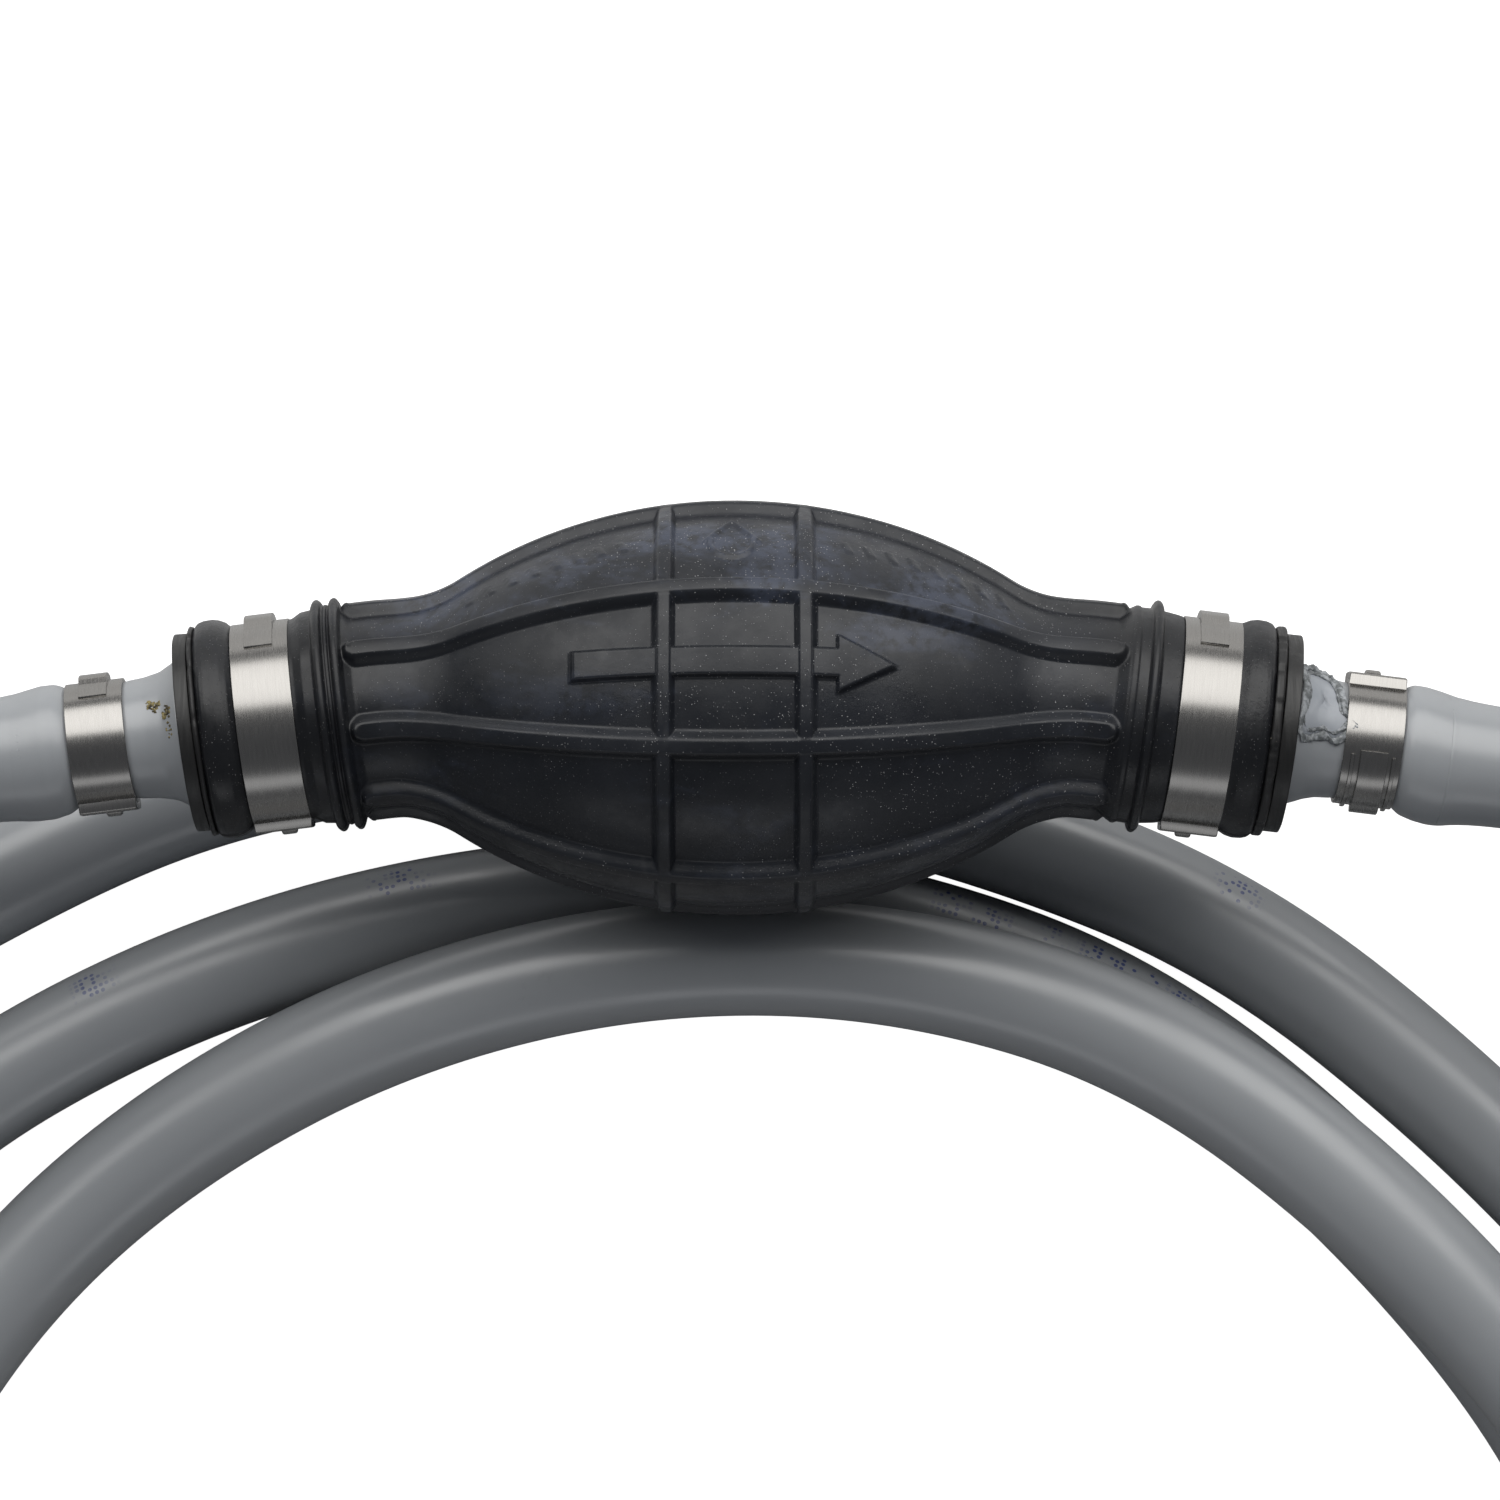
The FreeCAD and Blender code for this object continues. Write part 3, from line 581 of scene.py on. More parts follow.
def neck_profile(u, side_sign):
    """What a neck adds beyond its plain radius: collar, thin rings, clamp seat and rolled lip."""
    seat = 14.12 if side_sign > 0 else 13.6
    knots = np.array(
        [
            (-1, 13.7), (4.4, 13.7), (6.2, 15.05), (8.9, 15.15), (11.4, 14.85), (12.6, seat + 0.55),
            (13.3, seat + 0.4), (13.7, seat), (20.7, seat), (21.2, seat + 0.35), (21.9, 14.7),
            (22.8, 15.15), (23.8, 15.36), (25.0, 15.30), (25.8, 15.05), (26.3, 14.5), (26.4, 14.2),
        ]
    )  # fmt: skip
    kernel = np.exp(-0.5 * (np.arange(-8, 9) / 2.6) ** 2)
    step = np.linspace(u.min(), u.max(), 900)
    plain = np.interp(step, knots[:, 0], knots[:, 1])
    r = np.interp(u, step, np.convolve(np.pad(plain, 8, mode="edge"), kernel / kernel.sum(), "valid"))
    rings = [(6.55, 1.25, 0.8), (7.8, 0.4, 0.4), (9.05, 1.2, 0.8)]
    if side_sign > 0:
        rings = [(9.7, 1.3, 0.8), (6.9, 0.25, 0.5)]
    for place, height, half in rings:
        r = r + height * np.sqrt(np.clip(1 - ((u - place) / half) ** 2, 0, 1))
    return r


def capsule(x, d, end, half):
    """Distance outside a long rib's rounded outline."""
    beyond = np.maximum(np.abs(x) - (end - half), 0)
    return np.hypot(beyond, d) - half


def box_distance(x, y, low, high):
    """Distance outside a rectangle, negative inside it."""
    dx = np.maximum(low[0] - x, x - high[0])
    dy = np.maximum(low[1] - y, y - high[1])
    return np.hypot(np.maximum(dx, 0), np.maximum(dy, 0)) + np.minimum(np.maximum(dx, dy), 0)


def arrow_distance(x, d):
    """Distance outside the arrow's outline, negative inside it."""
    shaft = box_distance(x, d, (-22.4, -2.1), (15.0, 2.1))
    slope = math.atan2(4.2, 8.6)
    head = np.maximum(13.9 - x, (x - 22.5) * math.sin(slope) + np.abs(d) * math.cos(slope))
    head = np.maximum(head, np.abs(d) - 4.0)
    # The head's corners are rounded.
    head = np.maximum(head, np.hypot(x - 16.2, d) - 5.75)
    return np.minimum(shaft, head)


def drop_distance(x, d):
    """A plain drop shape."""
    ball = np.hypot(x, d + 0.7) - 1.7
    slope = math.radians(32)
    cone = np.maximum((d - 2.9) * math.sin(slope) + np.abs(x) * math.cos(slope), -0.2 - d)
    return np.minimum(ball, cone)


def relief(x, turn, base):
    """How far the moulding stands out from the plain bulb at each place."""

    def across(degrees):
        return base * (np.mod(turn - math.radians(degrees) + math.pi, TAU) - math.pi)

    body = np.abs(x) < HALF + 12
    heights = []
    half = 2.35 + 0.1 * smoothstep((np.abs(x) - 36) / 14)
    for degrees in RIB_TURNS:
        out = capsule(x, across(degrees), 53.9, half)
        heights.append(1.85 * smoothstep(-out / 1.6) * (1 - 0.10 * np.clip(1 + out / half, 0, 1) ** 2))
    ribs = np.max(heights, 0)
    gap = np.abs(np.abs(x) - 9.7)
    rings = 1.7 * smoothstep((1.85 - gap) / 1.2) * (1 - 0.16 * np.minimum(gap / 1.85, 1) ** 2)
    arrow = 1.25 * smoothstep((0.3 - arrow_distance(x, across(12.8))) / 0.75)
    size = 1.75
    outline = np.abs(size * drop_distance((x + 0.4) / size, across(57) / size))
    drop = 0.55 * smoothstep((0.6 - outline) / 0.4)
    row, pitch = across(58), 3.1
    lean = np.mod(x + 200.0 + 0.35 * row, pitch) - pitch / 2
    dashes = 0.36 * smoothstep((0.7 - np.abs(lean)) / 0.3) * smoothstep((1.5 - np.abs(row)) / 0.3)
    dashes = dashes * smoothstep((np.abs(x) - 14.5) / 0.4) * smoothstep((39 - np.abs(x)) / 0.4)
    # The highest wins, with a small fillet where two meet.
    stack = np.stack(np.broadcast_arrays(ribs, rings, arrow, drop, dashes))
    soft = 0.09
    high = stack.max(0)
    blended = high + soft * np.log(np.exp((stack - high) / soft).sum(0)) - soft * math.log(len(stack))
    out = np.where(body, np.maximum(blended, 0), 0)
    fade = smoothstep((54.5 - np.abs(x)) / 1.5)
    out = out * fade
    for parting_line in (-77, 103):
        out = out + 0.20 * smoothstep((0.42 - np.abs(across(parting_line))) / 0.3)
    return out


def graded(low, high, count, density):
    """Stations from low to high, closer together where density is greater."""
    fine = np.linspace(low, high, 6001)
    weight = np.concatenate([[0], np.cumsum(density((fine[1:] + fine[:-1]) / 2))])
    return np.interp(np.linspace(0, weight[-1], count), weight, fine)


def make_bulb():
    """The bulb as one skin, outside and inside, in place of the shell and the thumb panel."""
    end = HALF + 26.4

    def beside_arrow(s):
        return 1 + 1.3 * np.exp(-((s / 21) ** 4)) + 1.0 * (np.abs(s) > HALF + 5)

    def around_arrow(t):
        return 1 + 1.5 * np.exp(-(((t - ARROW_TURN) / 0.45) ** 4))

    rows = graded(-end, end, 760, beside_arrow)
    turns = graded(-math.pi, math.pi, 561, around_arrow)[:-1]
    s, t = rows[:, None], turns[None, :]
    base = belly(rows)
    for sign in (-1, 1):
        on_neck = sign * rows > HALF
        base[on_neck] = neck_profile(np.abs(rows[on_neck]) - HALF, sign)
    base = base[:, None]
    radius = base + relief(s, t, base)
    uneven = 0.10 * np.sin(3.1 * t + s * 0.05) * np.exp(-((s / 30) ** 2))
    radius = radius + uneven * smoothstep((HALF - np.abs(s)) / 12)
    inner_rows = np.concatenate([[end], np.linspace(end - 1, -end + 1, 120), [-end]])
    wall, neck_bore = 2.6, 11.06
    inner = np.maximum(belly(inner_rows) - wall, neck_bore)
    inner = np.where(np.abs(inner_rows) > HALF - 2, neck_bore, inner)
    all_s = np.concatenate([rows, inner_rows])[:, None]
    all_r = np.concatenate([radius, np.broadcast_to(inner[:, None], (len(inner), len(turns)))])
    centre, across = axis_point(all_s[:, 0])
    points = (
        centre[:, None, :]
        + (all_r * np.sin(t))[..., None] * across[:, None, :]
        + (all_r * np.cos(t))[..., None] * np.array([0, 0, 1.0])
    )
    # Painted sheen mask: 1 on the belly's +Y side, where the light falls, and 0 towards -Y and on the
    # necks.
    lit_side = smoothstep((points[..., 1] + 4) / 24) * smoothstep((HALF + 3 - np.abs(all_s)) / 10)
    bulb = grid_mesh("bulb_moulding", points, LOOKS["bulb"], attributes=(("lit_side", lit_side),))
    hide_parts("bulb_shell", "thumb_panel")
    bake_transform(bulb)


# ---------------------------------------------------------------- what is on each neck


def wavy(seed, amount, station_amount=0.0, nicks=0.0):
    """A worn, slightly uneven rim: a few sines whose phases come from the seed, and small nicks."""
    r = np.random.default_rng(seed)
    phases = r.uniform(0, TAU, 9)
    places, depths = r.uniform(-math.pi, math.pi, 34), r.uniform(0.15, 1.0, 34) ** 2

    def shape(station, radius, turn):
        out = np.zeros(np.broadcast(radius, turn).shape)
        for k, phase in enumerate(phases, start=3):
            out = out + np.sin(turn * (2 * k - 3) + phase + station * 2.1) / k
        cut = np.zeros_like(out)
        for place, depth in zip(places, depths):
            away = np.abs(np.mod(turn - place + math.pi, TAU) - math.pi)
            cut = np.maximum(cut, depth * smoothstep((0.055 - away) / 0.03))
        rim = smoothstep((radius - 11.5) / 1.5)
        return out * station_amount * rim, (out * amount - cut * nicks) * rim

    return shape


def make_fitting(side):
    """A neck's barbed fitting, and the gasket between its flange and the bulb's lip."""
    # The flange's two faces.
    near, far = (27.2, 29.3) if side == "inlet" else (27.8, 30.15)
    body = [
        (8.0, 8.2), (8.0, 11.0), (near, 11.0), (near + 0.1, 13.9), (far, 13.9), (far, 5.1),
        (32.8, 5.1), (32.8, 5.5), (35.4, 5.1), (37.8, 5.1), (37.8, 5.5), (40.4, 5.1),
        (42.8, 5.1), (42.8, 5.5), (45.4, 5.1), (49.0, 5.1), (50.0, 4.3), (50.0, 3.6), (25.0, 3.6),
        (25.0, 8.2),
    ]  # fmt: skip
    uneven = wavy(SIGN[side] + 5, 0.05, 0.02)
    piece = lathe(f"{side}_fitting_body", side, softened(body, 0.22), LOOKS["fitting"], 160, uneven)
    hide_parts(f"{side}_fitting")
    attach(piece, "line")
    end = near + 0.02
    ring = [(26.42, 11.05), (26.42, 14.5), (26.7, 14.75), (end - 0.25, 14.75), (end, 14.4), (end, 11.05)]
    ragged = wavy(SIGN[side] + 11, 0.16, 0.06, 0.34)
    piece = lathe(f"{side}_gasket_ring", side, softened(ring, 0.2), LOOKS["gasket"], 240, ragged)
    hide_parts(f"{side}_gasket")
    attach(piece, "line")


CUFF_END = 53.0  # the station from which the hose's own skin is seen
CUFF_TUCK = 53.8  # where the cuff ends, inside the hose
ROUTE_GAP = 0.3  # from the cuff's end to the start of the hose's route

# Each hose end's outline as (station, outer radius).
CUFF = {
    "inlet": [
        (29.3, 10.6), (30.3, 9.9), (31.8, 9.05), (34.2, 8.5), (36.6, 8.3), (37.3, 8.06), (45.1, 8.06),
        (45.7, 8.65), (46.8, 9.15), (48.8, 9.38), (51.0, 9.18), (CUFF_END, 8.92),
    ],
    "outlet": [
        (30.2, 9.95), (31.3, 9.55), (32.8, 8.85), (34.6, 8.35), (36.6, 8.2), (37.3, 8.06), (45.1, 8.06),
        (45.7, 8.6), (46.6, 9.15), (48.4, 9.4), (50.4, 9.38), (51.8, 9.22), (CUFF_END, 9.00),
    ],
}  # fmt: skip


def flare(side):
    """How much wider than the hose the cuff is at its end, and the length over which that fades."""
    step = 0.5
    wide = float(cuff_radius(CUFF_END, side)) - HOSE_RADIUS
    slope = (float(cuff_radius(CUFF_END - step, side)) - float(cuff_radius(CUFF_END, side))) / step
    return wide, wide / max(slope, 0.02)


def cuff_radius(station, side):
    """A hose end's outer radius at each station: CUFF's outline, smoothed."""
    knots = np.array(CUFF[side])
    fine = np.linspace(knots[0, 0], CUFF_END, 500)
    kernel = np.exp(-0.5 * (np.arange(-14, 15) / 5.0) ** 2)
    raw = np.pad(np.interp(fine, knots[:, 0], knots[:, 1]), 14, mode="reflect", reflect_type="odd")
    return np.interp(station, fine, np.convolve(raw, kernel / kernel.sum(), "valid"))


# The tear on the outlet's hose end, as (station, turn in degrees, how far its lip stands up).
TEAR = [
    (30.9, 72, 0.5), (31.9, 80, 0.8), (33.2, 82, 0.7), (34.6, 76, 0.9), (35.6, 62, 0.8), (36.5, 42, 0.9),
    (37.0, 25, 0.7), (38.5, 15, 0.6), (37.6, 6, 0.8), (35.8, -2, 0.7), (34.2, 2, 0.5), (32.1, -2, 0.5),
    (30.8, 3, 0.4), (30.9, 21, 0.5), (31.2, 41, 0.6), (30.8, 57, 0.6),
]  # fmt: skip
TEAR_START = 30.3  # the tear stays on the cuff, past the flange


def closed_curve(values, steps):
    """A smooth closed curve through the rows of values."""
    values = np.array(values, float)
    count = len(values)
    out = []
    for i in range(count):
        a, b, c, d = (values[(i + k) % count] for k in (-1, 0, 1, 2))
        for t in np.linspace(0, 1, steps, endpoint=False):
            square, cube = 2 * a - 5 * b + 4 * c - d, 3 * b - a - 3 * c + d
            out.append(0.5 * (2 * b + (c - a) * t + square * t**2 + cube * t**3))
    return np.array(out)


def torn_rope(name, loop, ragged, centre, share, thick, high):
    """One ragged fold of torn skin that follows the tear's loop, drawn in towards its centre by share."""
    station = centre[0] + (loop[:, 0] + ragged * 0.12 - centre[0]) * share
    turn = centre[1] + (np.radians(loop[:, 1]) + np.roll(ragged, 5) * 0.016 - centre[1]) * share
    station = station + (1 - share) * 1.2 * np.roll(ragged, 17)
    lift = loop[:, 2] * high * (0.8 + 0.5 * np.roll(ragged, int(40 * (1 - share))))
    out_s, out_t = (station - centre[0]) / 3.8, (turn - centre[1]) * 8.4 / 5.5
    norm = np.hypot(out_s, out_t) + 1e-6
    wide = thick + 0.22 * np.roll(ragged, 9)
    rows = []
    for a in np.linspace(0, TAU, 10, endpoint=False):
        ds = out_s / norm * wide * math.cos(a)
        dt = out_t / norm * wide * math.cos(a) / 8.4
        radius = cuff_radius(np.maximum(station + ds, TEAR_START), "outlet")
        radius = radius + (lift * 0.5) * (0.7 + math.sin(a))
        radius = radius + 0.08 * np.sin(3 * a + loop[:, 0] * 4)
        rows.append(neck_points("outlet", station + ds, radius, turn + dt))
    return grid_mesh(name, np.array(rows), LOOKS["torn"])


def make_tear():
    """A scrap of the hose's skin torn away: a ragged lip, and the paler layer inside it."""
    loop = closed_curve(TEAR, 12)
    r = np.random.default_rng(21)
    count = len(loop)
    ragged = 1.6 * np.convolve(np.pad(r.normal(0, 1, count), 5, mode="wrap"), np.ones(11) / 11, "valid")
    station = loop[:, 0] + ragged * 0.12
    turn = np.radians(loop[:, 1]) + np.roll(ragged, 5) * 0.016
    centre_s, centre_t = station.mean(), turn.mean()
    folds = (("outlet_torn_lip", 1.0, 0.62, 1.35), ("outlet_torn_fold", 0.8, 0.34, 0.8))
    for name, share, thick, high in folds:
        lip = torn_rope(name, loop, ragged, (centre_s, centre_t), share, thick, high)
        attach(lip, "line")

    def ring(share, lift):
        """The tear's outline drawn in towards its centre by share, at a height above the cuff."""
        s = centre_s + (station - centre_s) * share
        t = centre_t + (turn - centre_t) * share
        return neck_points("outlet", s, cuff_radius(np.maximum(s, TEAR_START), "outlet") + lift, t)

    top = [ring(share, 0.16 + 0.10 * math.sin(5 * share)) for share in (1.0, 0.8, 0.55, 0.3, 0.001)]
    bottom = [ring(share, -0.3) for share in (0.001, 0.55, 1.0)]
    inner = grid_mesh("outlet_inner_skin", np.array(top + bottom), LOOKS["bare"])
    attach(inner, "line")


def make_hose_end(side):
    """The end of a hose, stretched over its fitting's barbs."""
    start = CUFF[side][0][0]
    wide, fade = flare(side)
    outer = [(s, float(cuff_radius(s, side))) for s in np.linspace(start + 0.15, CUFF_END, 70)]
    under = []
    for s in (53.2, 53.4, 53.6, CUFF_TUCK):
        past = s - CUFF_END
        under.append((s, HOSE_RADIUS + wide * math.exp(-past / fade) - 0.03 * past))
    inside = [(CUFF_TUCK, 8.0), (CUFF_TUCK, 5.3), (50.3, 5.15)]
    outline = np.array([(start + 0.02, 5.15), (start + 0.02, 9.6), *outer, *under, *inside])
    rough = wavy(SIGN[side] + 31, 0.06)

    def shape(station, radius, turn):
        _, dr = rough(station, np.maximum(radius, 12.9), turn)
        edge = smoothstep((34.5 - station) / 4.0) * (radius > 8)
        return 0.0 * dr, dr * edge

    piece = lathe(f"{side}_hose_cuff", side, outline, LOOKS["hose"], 128, shape, droop=True)
    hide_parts(f"{side}_hose_end")
    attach(piece, "line")


def make_clamp(name, side, start, inner, ear_side, tongue):
    """An ear clamp: its band, a raised tab or a lapped tongue, and the flat ear with its hook."""
    width, outer = 8.15, inner + 0.7
    middle = start + width / 2
    ring = softened([(start, inner), (start, outer), (start + width, outer), (start + width, inner)], 0.16)
    parts = [lathe(f"{name}_band", side, ring, LOOKS["steel"], 192)]
    way = -ear_side
    up = 90 * way
    if tongue is None:
        tab = []
        for degrees in np.linspace(48, 112, 44):
            rise = 0.30 + 0.75 * smoothstep((degrees - 64) / 12)
            rise = rise * smoothstep((112.5 - degrees) / 5)
            tab.append((degrees * way, outer - 0.15, outer + 0.02 + rise))
        parts.append(strap(f"{name}_tab", side, middle, 3.95, tab, LOOKS["steel"], 0.12))
    reach = math.degrees(3.7 / outer)
    ear = []
    for k in np.linspace(-1, 1, 21):
        flat = (outer + 0.75) / math.cos(math.radians(reach * k * 0.9)) - outer
        taper = smoothstep((1 - abs(k)) / 0.14)
        ear.append((-up + reach * k, outer - 0.1, outer + 0.06 + (flat + 0.15) * taper))
    parts.append(strap(f"{name}_ear", side, middle, width - 0.1, ear, LOOKS["steel"], 0.3))
    hook = []
    for k in np.linspace(-1, 1, 17):
        crown = 0.75 * math.sqrt(max(1 - k * k, 0.02))
        hook.append((-up + reach * 0.36 * k, outer + 0.5, outer + 0.75 + crown))
    parts.append(strap(f"{name}_hook", side, middle - 0.6, 2.2, hook, LOOKS["steel"], 0.4))
    if tongue is not None:
        strip = []
        for k in np.linspace(0, 1, 40):
            rise = 0.7 * smoothstep((1 - k) / 0.03) + 0.35 * smoothstep((k - 0.72) / 0.15)
            strip.append((tongue[0] + (tongue[1] - tongue[0]) * k, outer - 0.1, outer + 0.03 + rise))
        parts.append(strap(f"{name}_tongue", side, middle + 0.2, 3.9, strip, LOOKS["steel"], 0.16))
        for place, edge in (("near", -2.75), ("far", 3.0)):
            rail = [(tongue[0] - 4 - 1.9 * k, outer - 0.1, outer + 0.36) for k in range(43)]
            piece = strap(f"{name}_rail_{place}", side, middle + edge, 0.55, rail, LOOKS["steel"], 0.1)
            parts.append(piece)
    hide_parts(name)
    for piece in parts:
        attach(piece, "line")


def make_residue():
    """Dried fuel gum by the inlet's flange, as small flattened lumps."""
    r = np.random.default_rng(12)
    work = bmesh.new()
    spots = [
        (33.7, 31, 0.30), (33.2, 30, 0.42), (32.8, 28, 0.5), (32.3, 29, 0.42), (32.5, 24, 0.34),
        (32.0, 31, 0.36), (31.0, 23, 0.45), (30.8, 20, 0.36), (31.2, 17, 0.5), (31.0, 14, 0.42),
        (30.8, 11, 0.4), (30.9, 5, 0.3), (30.8, 0, 0.26),
    ]  # fmt: skip
    for station, turn, size in spots:
        for _ in range(4):
            s, t = station + r.normal(0, 0.28), math.radians(turn) + r.normal(0, 0.035)
            s = max(s, 30.5)
            p = neck_points("inlet", np.array(s), cuff_radius(s, "inlet") - 0.02, np.array(t))
            lump = Matrix.Translation(Vector(p) * MM) @ Euler((-t, 0, 0)).to_matrix().to_4x4()
            wide = size * r.uniform(0.35, 0.8) * MM
            lump = lump @ Matrix.Diagonal((wide, wide * r.uniform(0.6, 1.2), wide * 0.55, 1))
            made = bmesh.ops.create_icosphere(work, subdivisions=2, radius=1.0, matrix=lump)
            for v in made["verts"]:
                v.co += Vector(r.normal(0, 0.03 * MM, 3))
    mesh = bpy.data.meshes.new("inlet_dried_residue")
    work.to_mesh(mesh)
    work.free()
    mesh.polygons.foreach_set("use_smooth", np.ones(len(mesh.polygons), bool))
    mesh.materials.append(LOOKS["residue"])
    piece = bpy.data.objects.new("inlet_dried_residue", mesh)
    scene.collection.objects.link(piece)
    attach(piece, "line")


def make_spring(side):
    """The valve's spring in bright wire, on its own copy of the CAD mesh; its shortening as the disc lifts
    is not made here.
    """
    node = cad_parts[f"{side}_valve_spring"]
    piece = bpy.data.objects.new(f"{side}_spring_wire", node.data.copy())
    piece.matrix_world = node.matrix_world
    scene.collection.objects.link(piece)
    piece.data.materials.clear()
    piece.data.materials.append(LOOKS["wire"])
    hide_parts(f"{side}_valve_spring")
    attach(piece, "line")
    bpy.context.view_layer.update()
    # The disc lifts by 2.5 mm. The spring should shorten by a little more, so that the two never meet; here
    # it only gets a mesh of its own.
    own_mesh(piece)


# ---------------------------------------------------------------- the hoses

TABLE, UPPER = -37.0, -19.6
INLET_ROUTE = [
    (-100.6, -6.46, 0.0),
    # out of the bulb's neck, down the left side and over the outer turn
    (-113.5, -8.0, -0.4), (-136.4, -15.2, -3.5), (-158.0, -33.0, -9.0), (-172.1, -59.5, -15.5),
    (-175.5, -92.3, -20.5), (-169.9, -128.0, -22.5), (-156.0, -162.0, -20.0), (-133.0, -191.0, UPPER),
    (-103.0, -214.0, UPPER), (-66.0, -230.0, UPPER), (-27.0, -236.5, UPPER), (14.0, -237.6, UPPER),
    (60.0, -236.5, UPPER), (94.7, -223.5, UPPER), (118.8, -200.2, UPPER), (132.4, -169.7, UPPER),
    (133.5, -136.3, UPPER), (122.1, -104.9, UPPER), (93.2, -72.0, UPPER), (60.0, -46.9, UPPER),
    (24.0, -36.0, UPPER), (-13.0, -35.2, -20.3), (-50.0, -44.4, -25.5), (-84.0, -63.0, -34.0),
    # the middle turn
    (-108.9, -86.0, TABLE), (-126.0, -114.5, TABLE), (-131.0, -147.0, TABLE), (-123.5, -179.5, TABLE),
    (-104.5, -206.5, TABLE), (-76.0, -224.5, TABLE), (-43.0, -230.0, TABLE), (-6.0, -231.2, TABLE),
    (28.0, -231.0, TABLE), (62.5, -229.0, TABLE), (93.0, -217.3, TABLE), (116.2, -195.0, TABLE),
    (129.4, -165.6, TABLE), (130.5, -134.0, TABLE), (119.9, -104.5, TABLE), (91.0, -70.0, TABLE),
    (58.0, -43.5, TABLE), (22.0, -30.5, TABLE), (-15.0, -25.8, TABLE), (-53.0, -30.8, TABLE),
    # the outer turn, which passes under the bulb
    (-88.0, -42.8, TABLE), (-119.0, -61.0, TABLE), (-141.5, -86.5, TABLE), (-152.0, -118.0, TABLE),
    (-150.5, -151.0, TABLE), (-145.5, -184.0, TABLE), (-130.0, -213.0, TABLE), (-105.0, -235.0, TABLE),
    (-73.5, -246.8, TABLE), (-38.0, -248.5, TABLE), (0.0, -249.6, TABLE), (40.0, -249.2, TABLE),
    (80.0, -246.0, TABLE), (112.0, -234.5, TABLE), (136.8, -211.0, TABLE), (150.5, -180.0, TABLE),
    (152.5, -146.5, TABLE), (147.0, -114.5, TABLE), (132.5, -85.5, TABLE), (107.0, -58.5, TABLE),
    (74.0, -32.0, TABLE), (38.0, -17.3, TABLE), (2.0, -8.6, TABLE), (-34.0, -4.6, TABLE),
    (-71.0, -8.9, TABLE), (-104.0, -22.3, TABLE), (-131.0, -38.5, TABLE),
]  # fmt: skip
OUTLET_ROUTE = [
    (100.6, -6.46, 0.0),
    (113.5, -8.0, -0.4), (136.4, -15.2, -3.8), (158.0, -33.0, -11.0), (171.0, -60.0, -20.0),
    (174.5, -91.0, -28.5), (174.5, -122.0, -34.5), (173.0, -153.0, TABLE), (168.0, -184.0, TABLE),
    (160.0, -212.0, TABLE),
]  # fmt: skip


def spline_points(name, route):
    """Points on the smooth line that the route's points control, in metres."""
    curve = bpy.data.curves.new(name + "_line", "CURVE")
    curve.dimensions = "3D"
    spline = curve.splines.new("NURBS")
    spline.points.add(len(route) - 1)
    for point, place in zip(spline.points, route):
        point.co = (*(c * MM for c in place), 1.0)
    spline.order_u = 3
    spline.use_endpoint_u = True
    spline.resolution_u = 14
    holder = bpy.data.objects.new(name + "_line", curve)
    mesh = bpy.data.meshes.new_from_object(holder)
    points = np.array([v.co for v in mesh.vertices], float)
    bpy.data.objects.remove(holder)
    bpy.data.meshes.remove(mesh)
    bpy.data.curves.remove(curve)
    keep = np.concatenate([[True], np.linalg.norm(np.diff(points, axis=0), axis=1) > 1e-5])
    return points[keep]


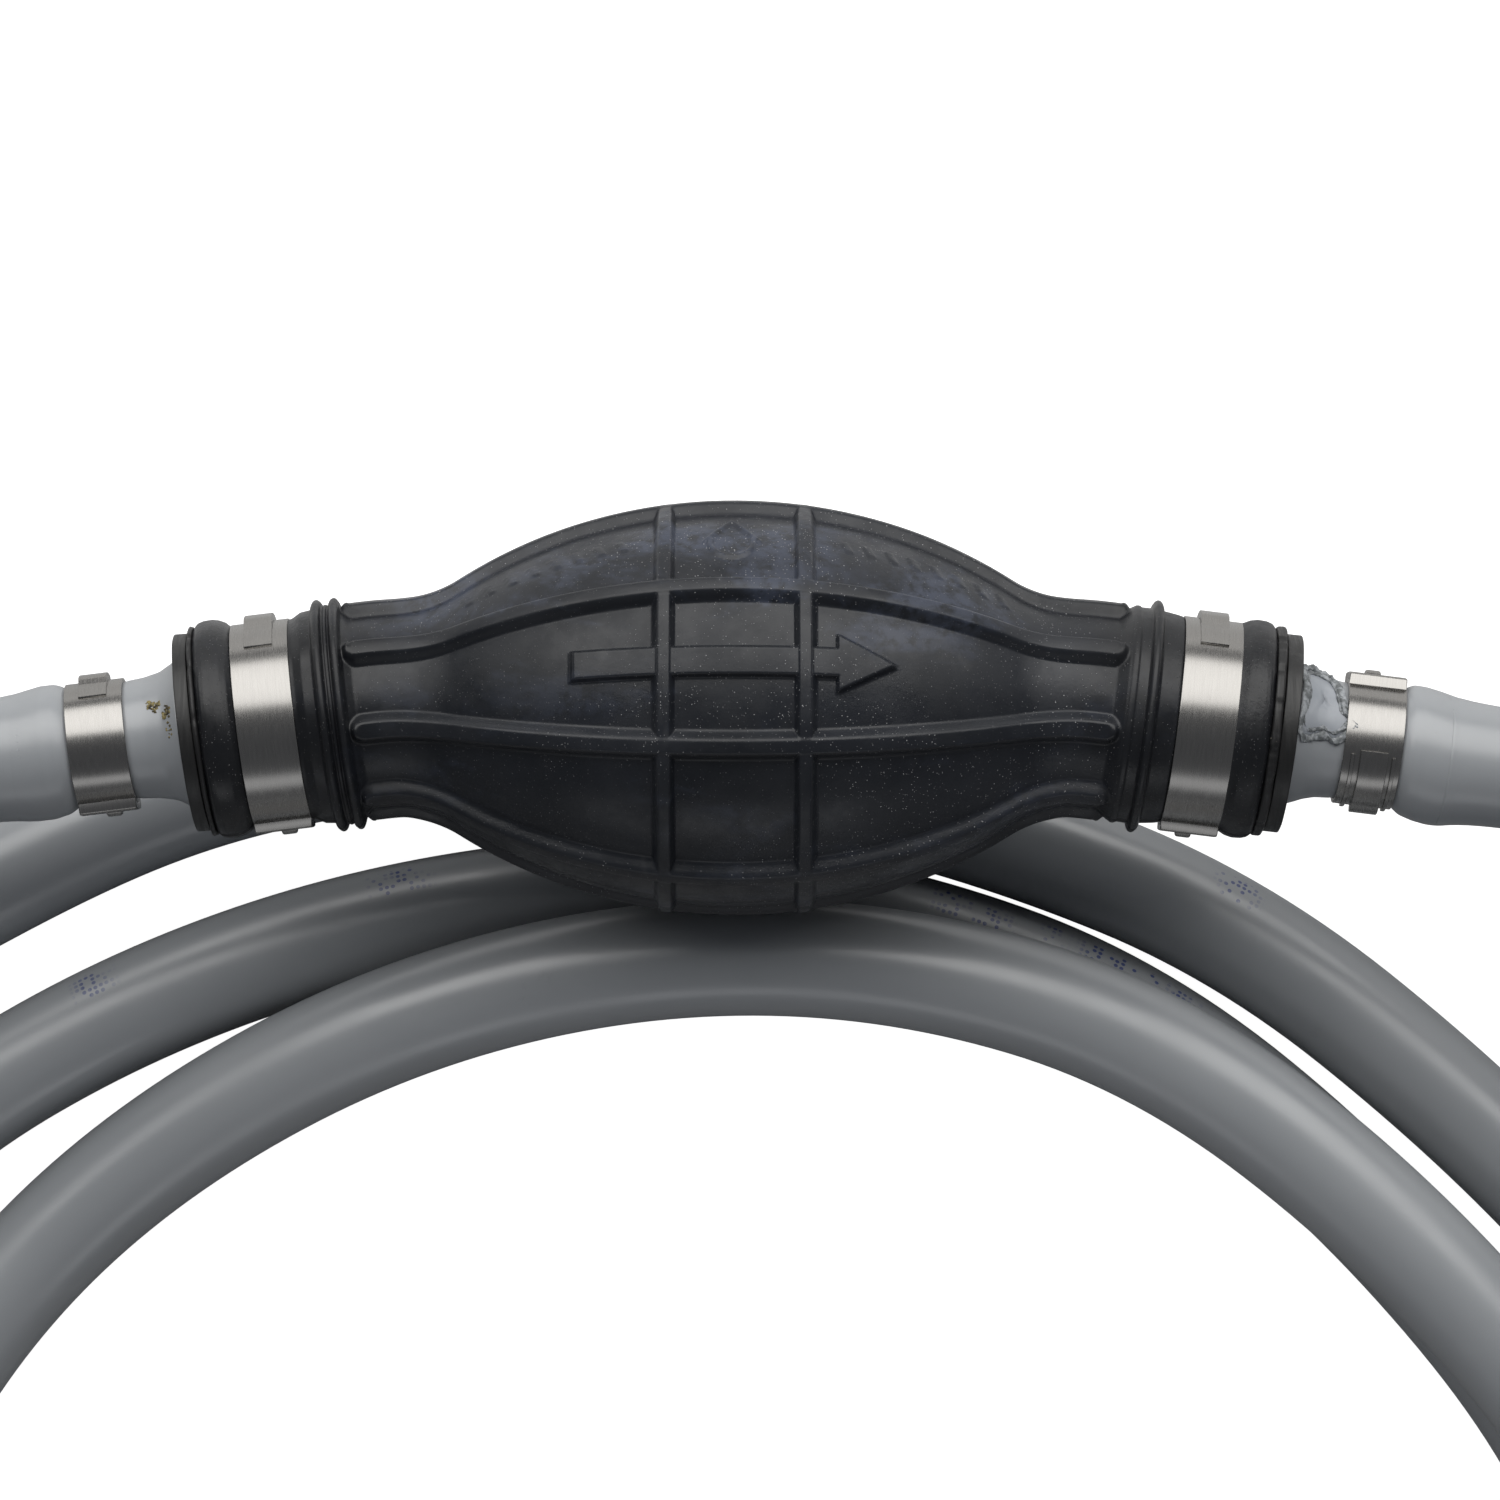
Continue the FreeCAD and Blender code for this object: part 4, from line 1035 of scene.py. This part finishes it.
def make_hose(side, route, nodes, printed):
    """A hose as one tube on its smooth line, with the bore open at its free end."""
    name = f"{side}_hose_skin"
    line = spline_points(name, route)
    path = line / MM
    way = np.gradient(path, axis=0)
    way /= np.linalg.norm(way, axis=1)[:, None]
    side_way = np.cross(way, [0, 0, 1.0])
    side_way /= np.linalg.norm(side_way, axis=1)[:, None]
    up_way = np.cross(side_way, way)
    along = np.concatenate([[0], np.cumsum(np.linalg.norm(np.diff(path, axis=0), axis=1))])
    turns = np.linspace(0, TAU, 56, endpoint=False)
    wide, fade = flare(side)
    path[:, 1] -= DROOP[side] * smoothstep(1 - along / 34)
    rows, stations = [], []

    def ring(i, r, push=0.0):
        out = np.cos(turns)[:, None] * up_way[i] + np.sin(turns)[:, None] * side_way[i]
        rows.append(path[i] + push * way[i] + out * r)
        stations.append(along[i] + push)

    for r, push in ((0.3, -1.9), (5.4, -1.9), (7.9, -1.9)):
        ring(0, r, push)
    for push in (-1.8, -1.35, -0.9, -0.45):
        ring(0, HOSE_RADIUS + wide * math.exp(-(push + ROUTE_GAP) / fade) - 0.02 + 0.06 * push, push)
    for i in range(len(path) - 1):
        ring(i, HOSE_RADIUS + 0.01 + wide * math.exp(-(along[i] + ROUTE_GAP) / fade))
    last = len(path) - 1
    for r, push in (
        (HOSE_RADIUS, -0.7), (HOSE_RADIUS - 0.08, -0.35), (HOSE_RADIUS - 0.25, -0.1),
        (HOSE_RADIUS - 0.5, 0.0), (5.3, 0.0), (4.98, -0.1), (4.82, -0.35),
        (BORE_RADIUS, -0.8), (BORE_RADIUS, -7.0), (BORE_RADIUS, -13.6), (4.4, -14.0), (0.3, -14.3),
    ):  # fmt: skip
        ring(last, r, push)
    points = np.array(rows)
    here = np.array(stations)[:, None] * MM
    bands = np.zeros_like(here)
    for low, high in printed:
        bands = np.maximum(bands, smoothstep((here - low) / 0.001) * smoothstep((high - here) / 0.001))
    around = np.where(turns > math.pi, turns - TAU, turns)[None, :]
    piece = grid_mesh(
        name,
        points,
        LOOKS["hose"],
        attributes=(("along", here), ("around", around), ("printed", bands)),
        capped=True,
    )
    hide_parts(*nodes)
    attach(piece, "line")


# ---------------------------------------------------------------- everything together

make_camera()
make_lights()

make_hose(
    "inlet",
    INLET_ROUTE,
    ("inlet_hose_first_turn", "inlet_hose_second_turn", "inlet_hose_third_turn", "inlet_hose_tail"),
    [
        (0.32, 0.345), (1.36, 1.366), (1.4185, 1.440), (1.442, 1.4445), (1.449, 1.4615), (1.533, 1.5415),
        (1.580, 1.585), (1.66, 1.69), (1.9, 1.93), (2.12, 2.14), (2.278, 2.284),
    ],
)
make_hose("outlet", OUTLET_ROUTE, ("outlet_hose", "outlet_hose_tail"), [(0.30, 0.31)])
make_bulb()
# A clamp's name, side, first station, inner radius and ear's side, then its tongue's turns if it has one.
CLAMPS = (
    ("inlet_bulb_clamp", "inlet", 13.1, 13.55, -1, None),
    ("outlet_bulb_clamp", "outlet", 13.5, 13.95, -1, None),
    ("inlet_hose_clamp", "inlet", 37.1, 8.1, -1, None),
    ("outlet_hose_clamp", "outlet", 37.2, 8.1, 1, (-7, -86)),
)
for side in SIGN:
    make_fitting(side)
    make_hose_end(side)
    make_spring(side)
for clamp in CLAMPS:
    make_clamp(*clamp)
make_tear()
make_residue()

# What still shows its CAD shape is a valve piece: a disc, seat or cage, or an O-ring.
for node_name, node_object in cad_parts.items():
    if node_object.hide_render:
        continue
    kind = "seal" if "o_ring" in node_name else "valve"
    node_object.data.materials.clear()
    node_object.data.materials.append(LOOKS[kind])

bpy.ops.mesh.primitive_plane_add(size=6.0, location=(0, 0, FLOOR_Z * MM))
floor = bpy.context.active_object
floor.name = "studio_floor"
floor.data.materials.append(LOOKS["floor"])

scene.view_settings.view_transform = "Standard"
scene.view_settings.look = "None"
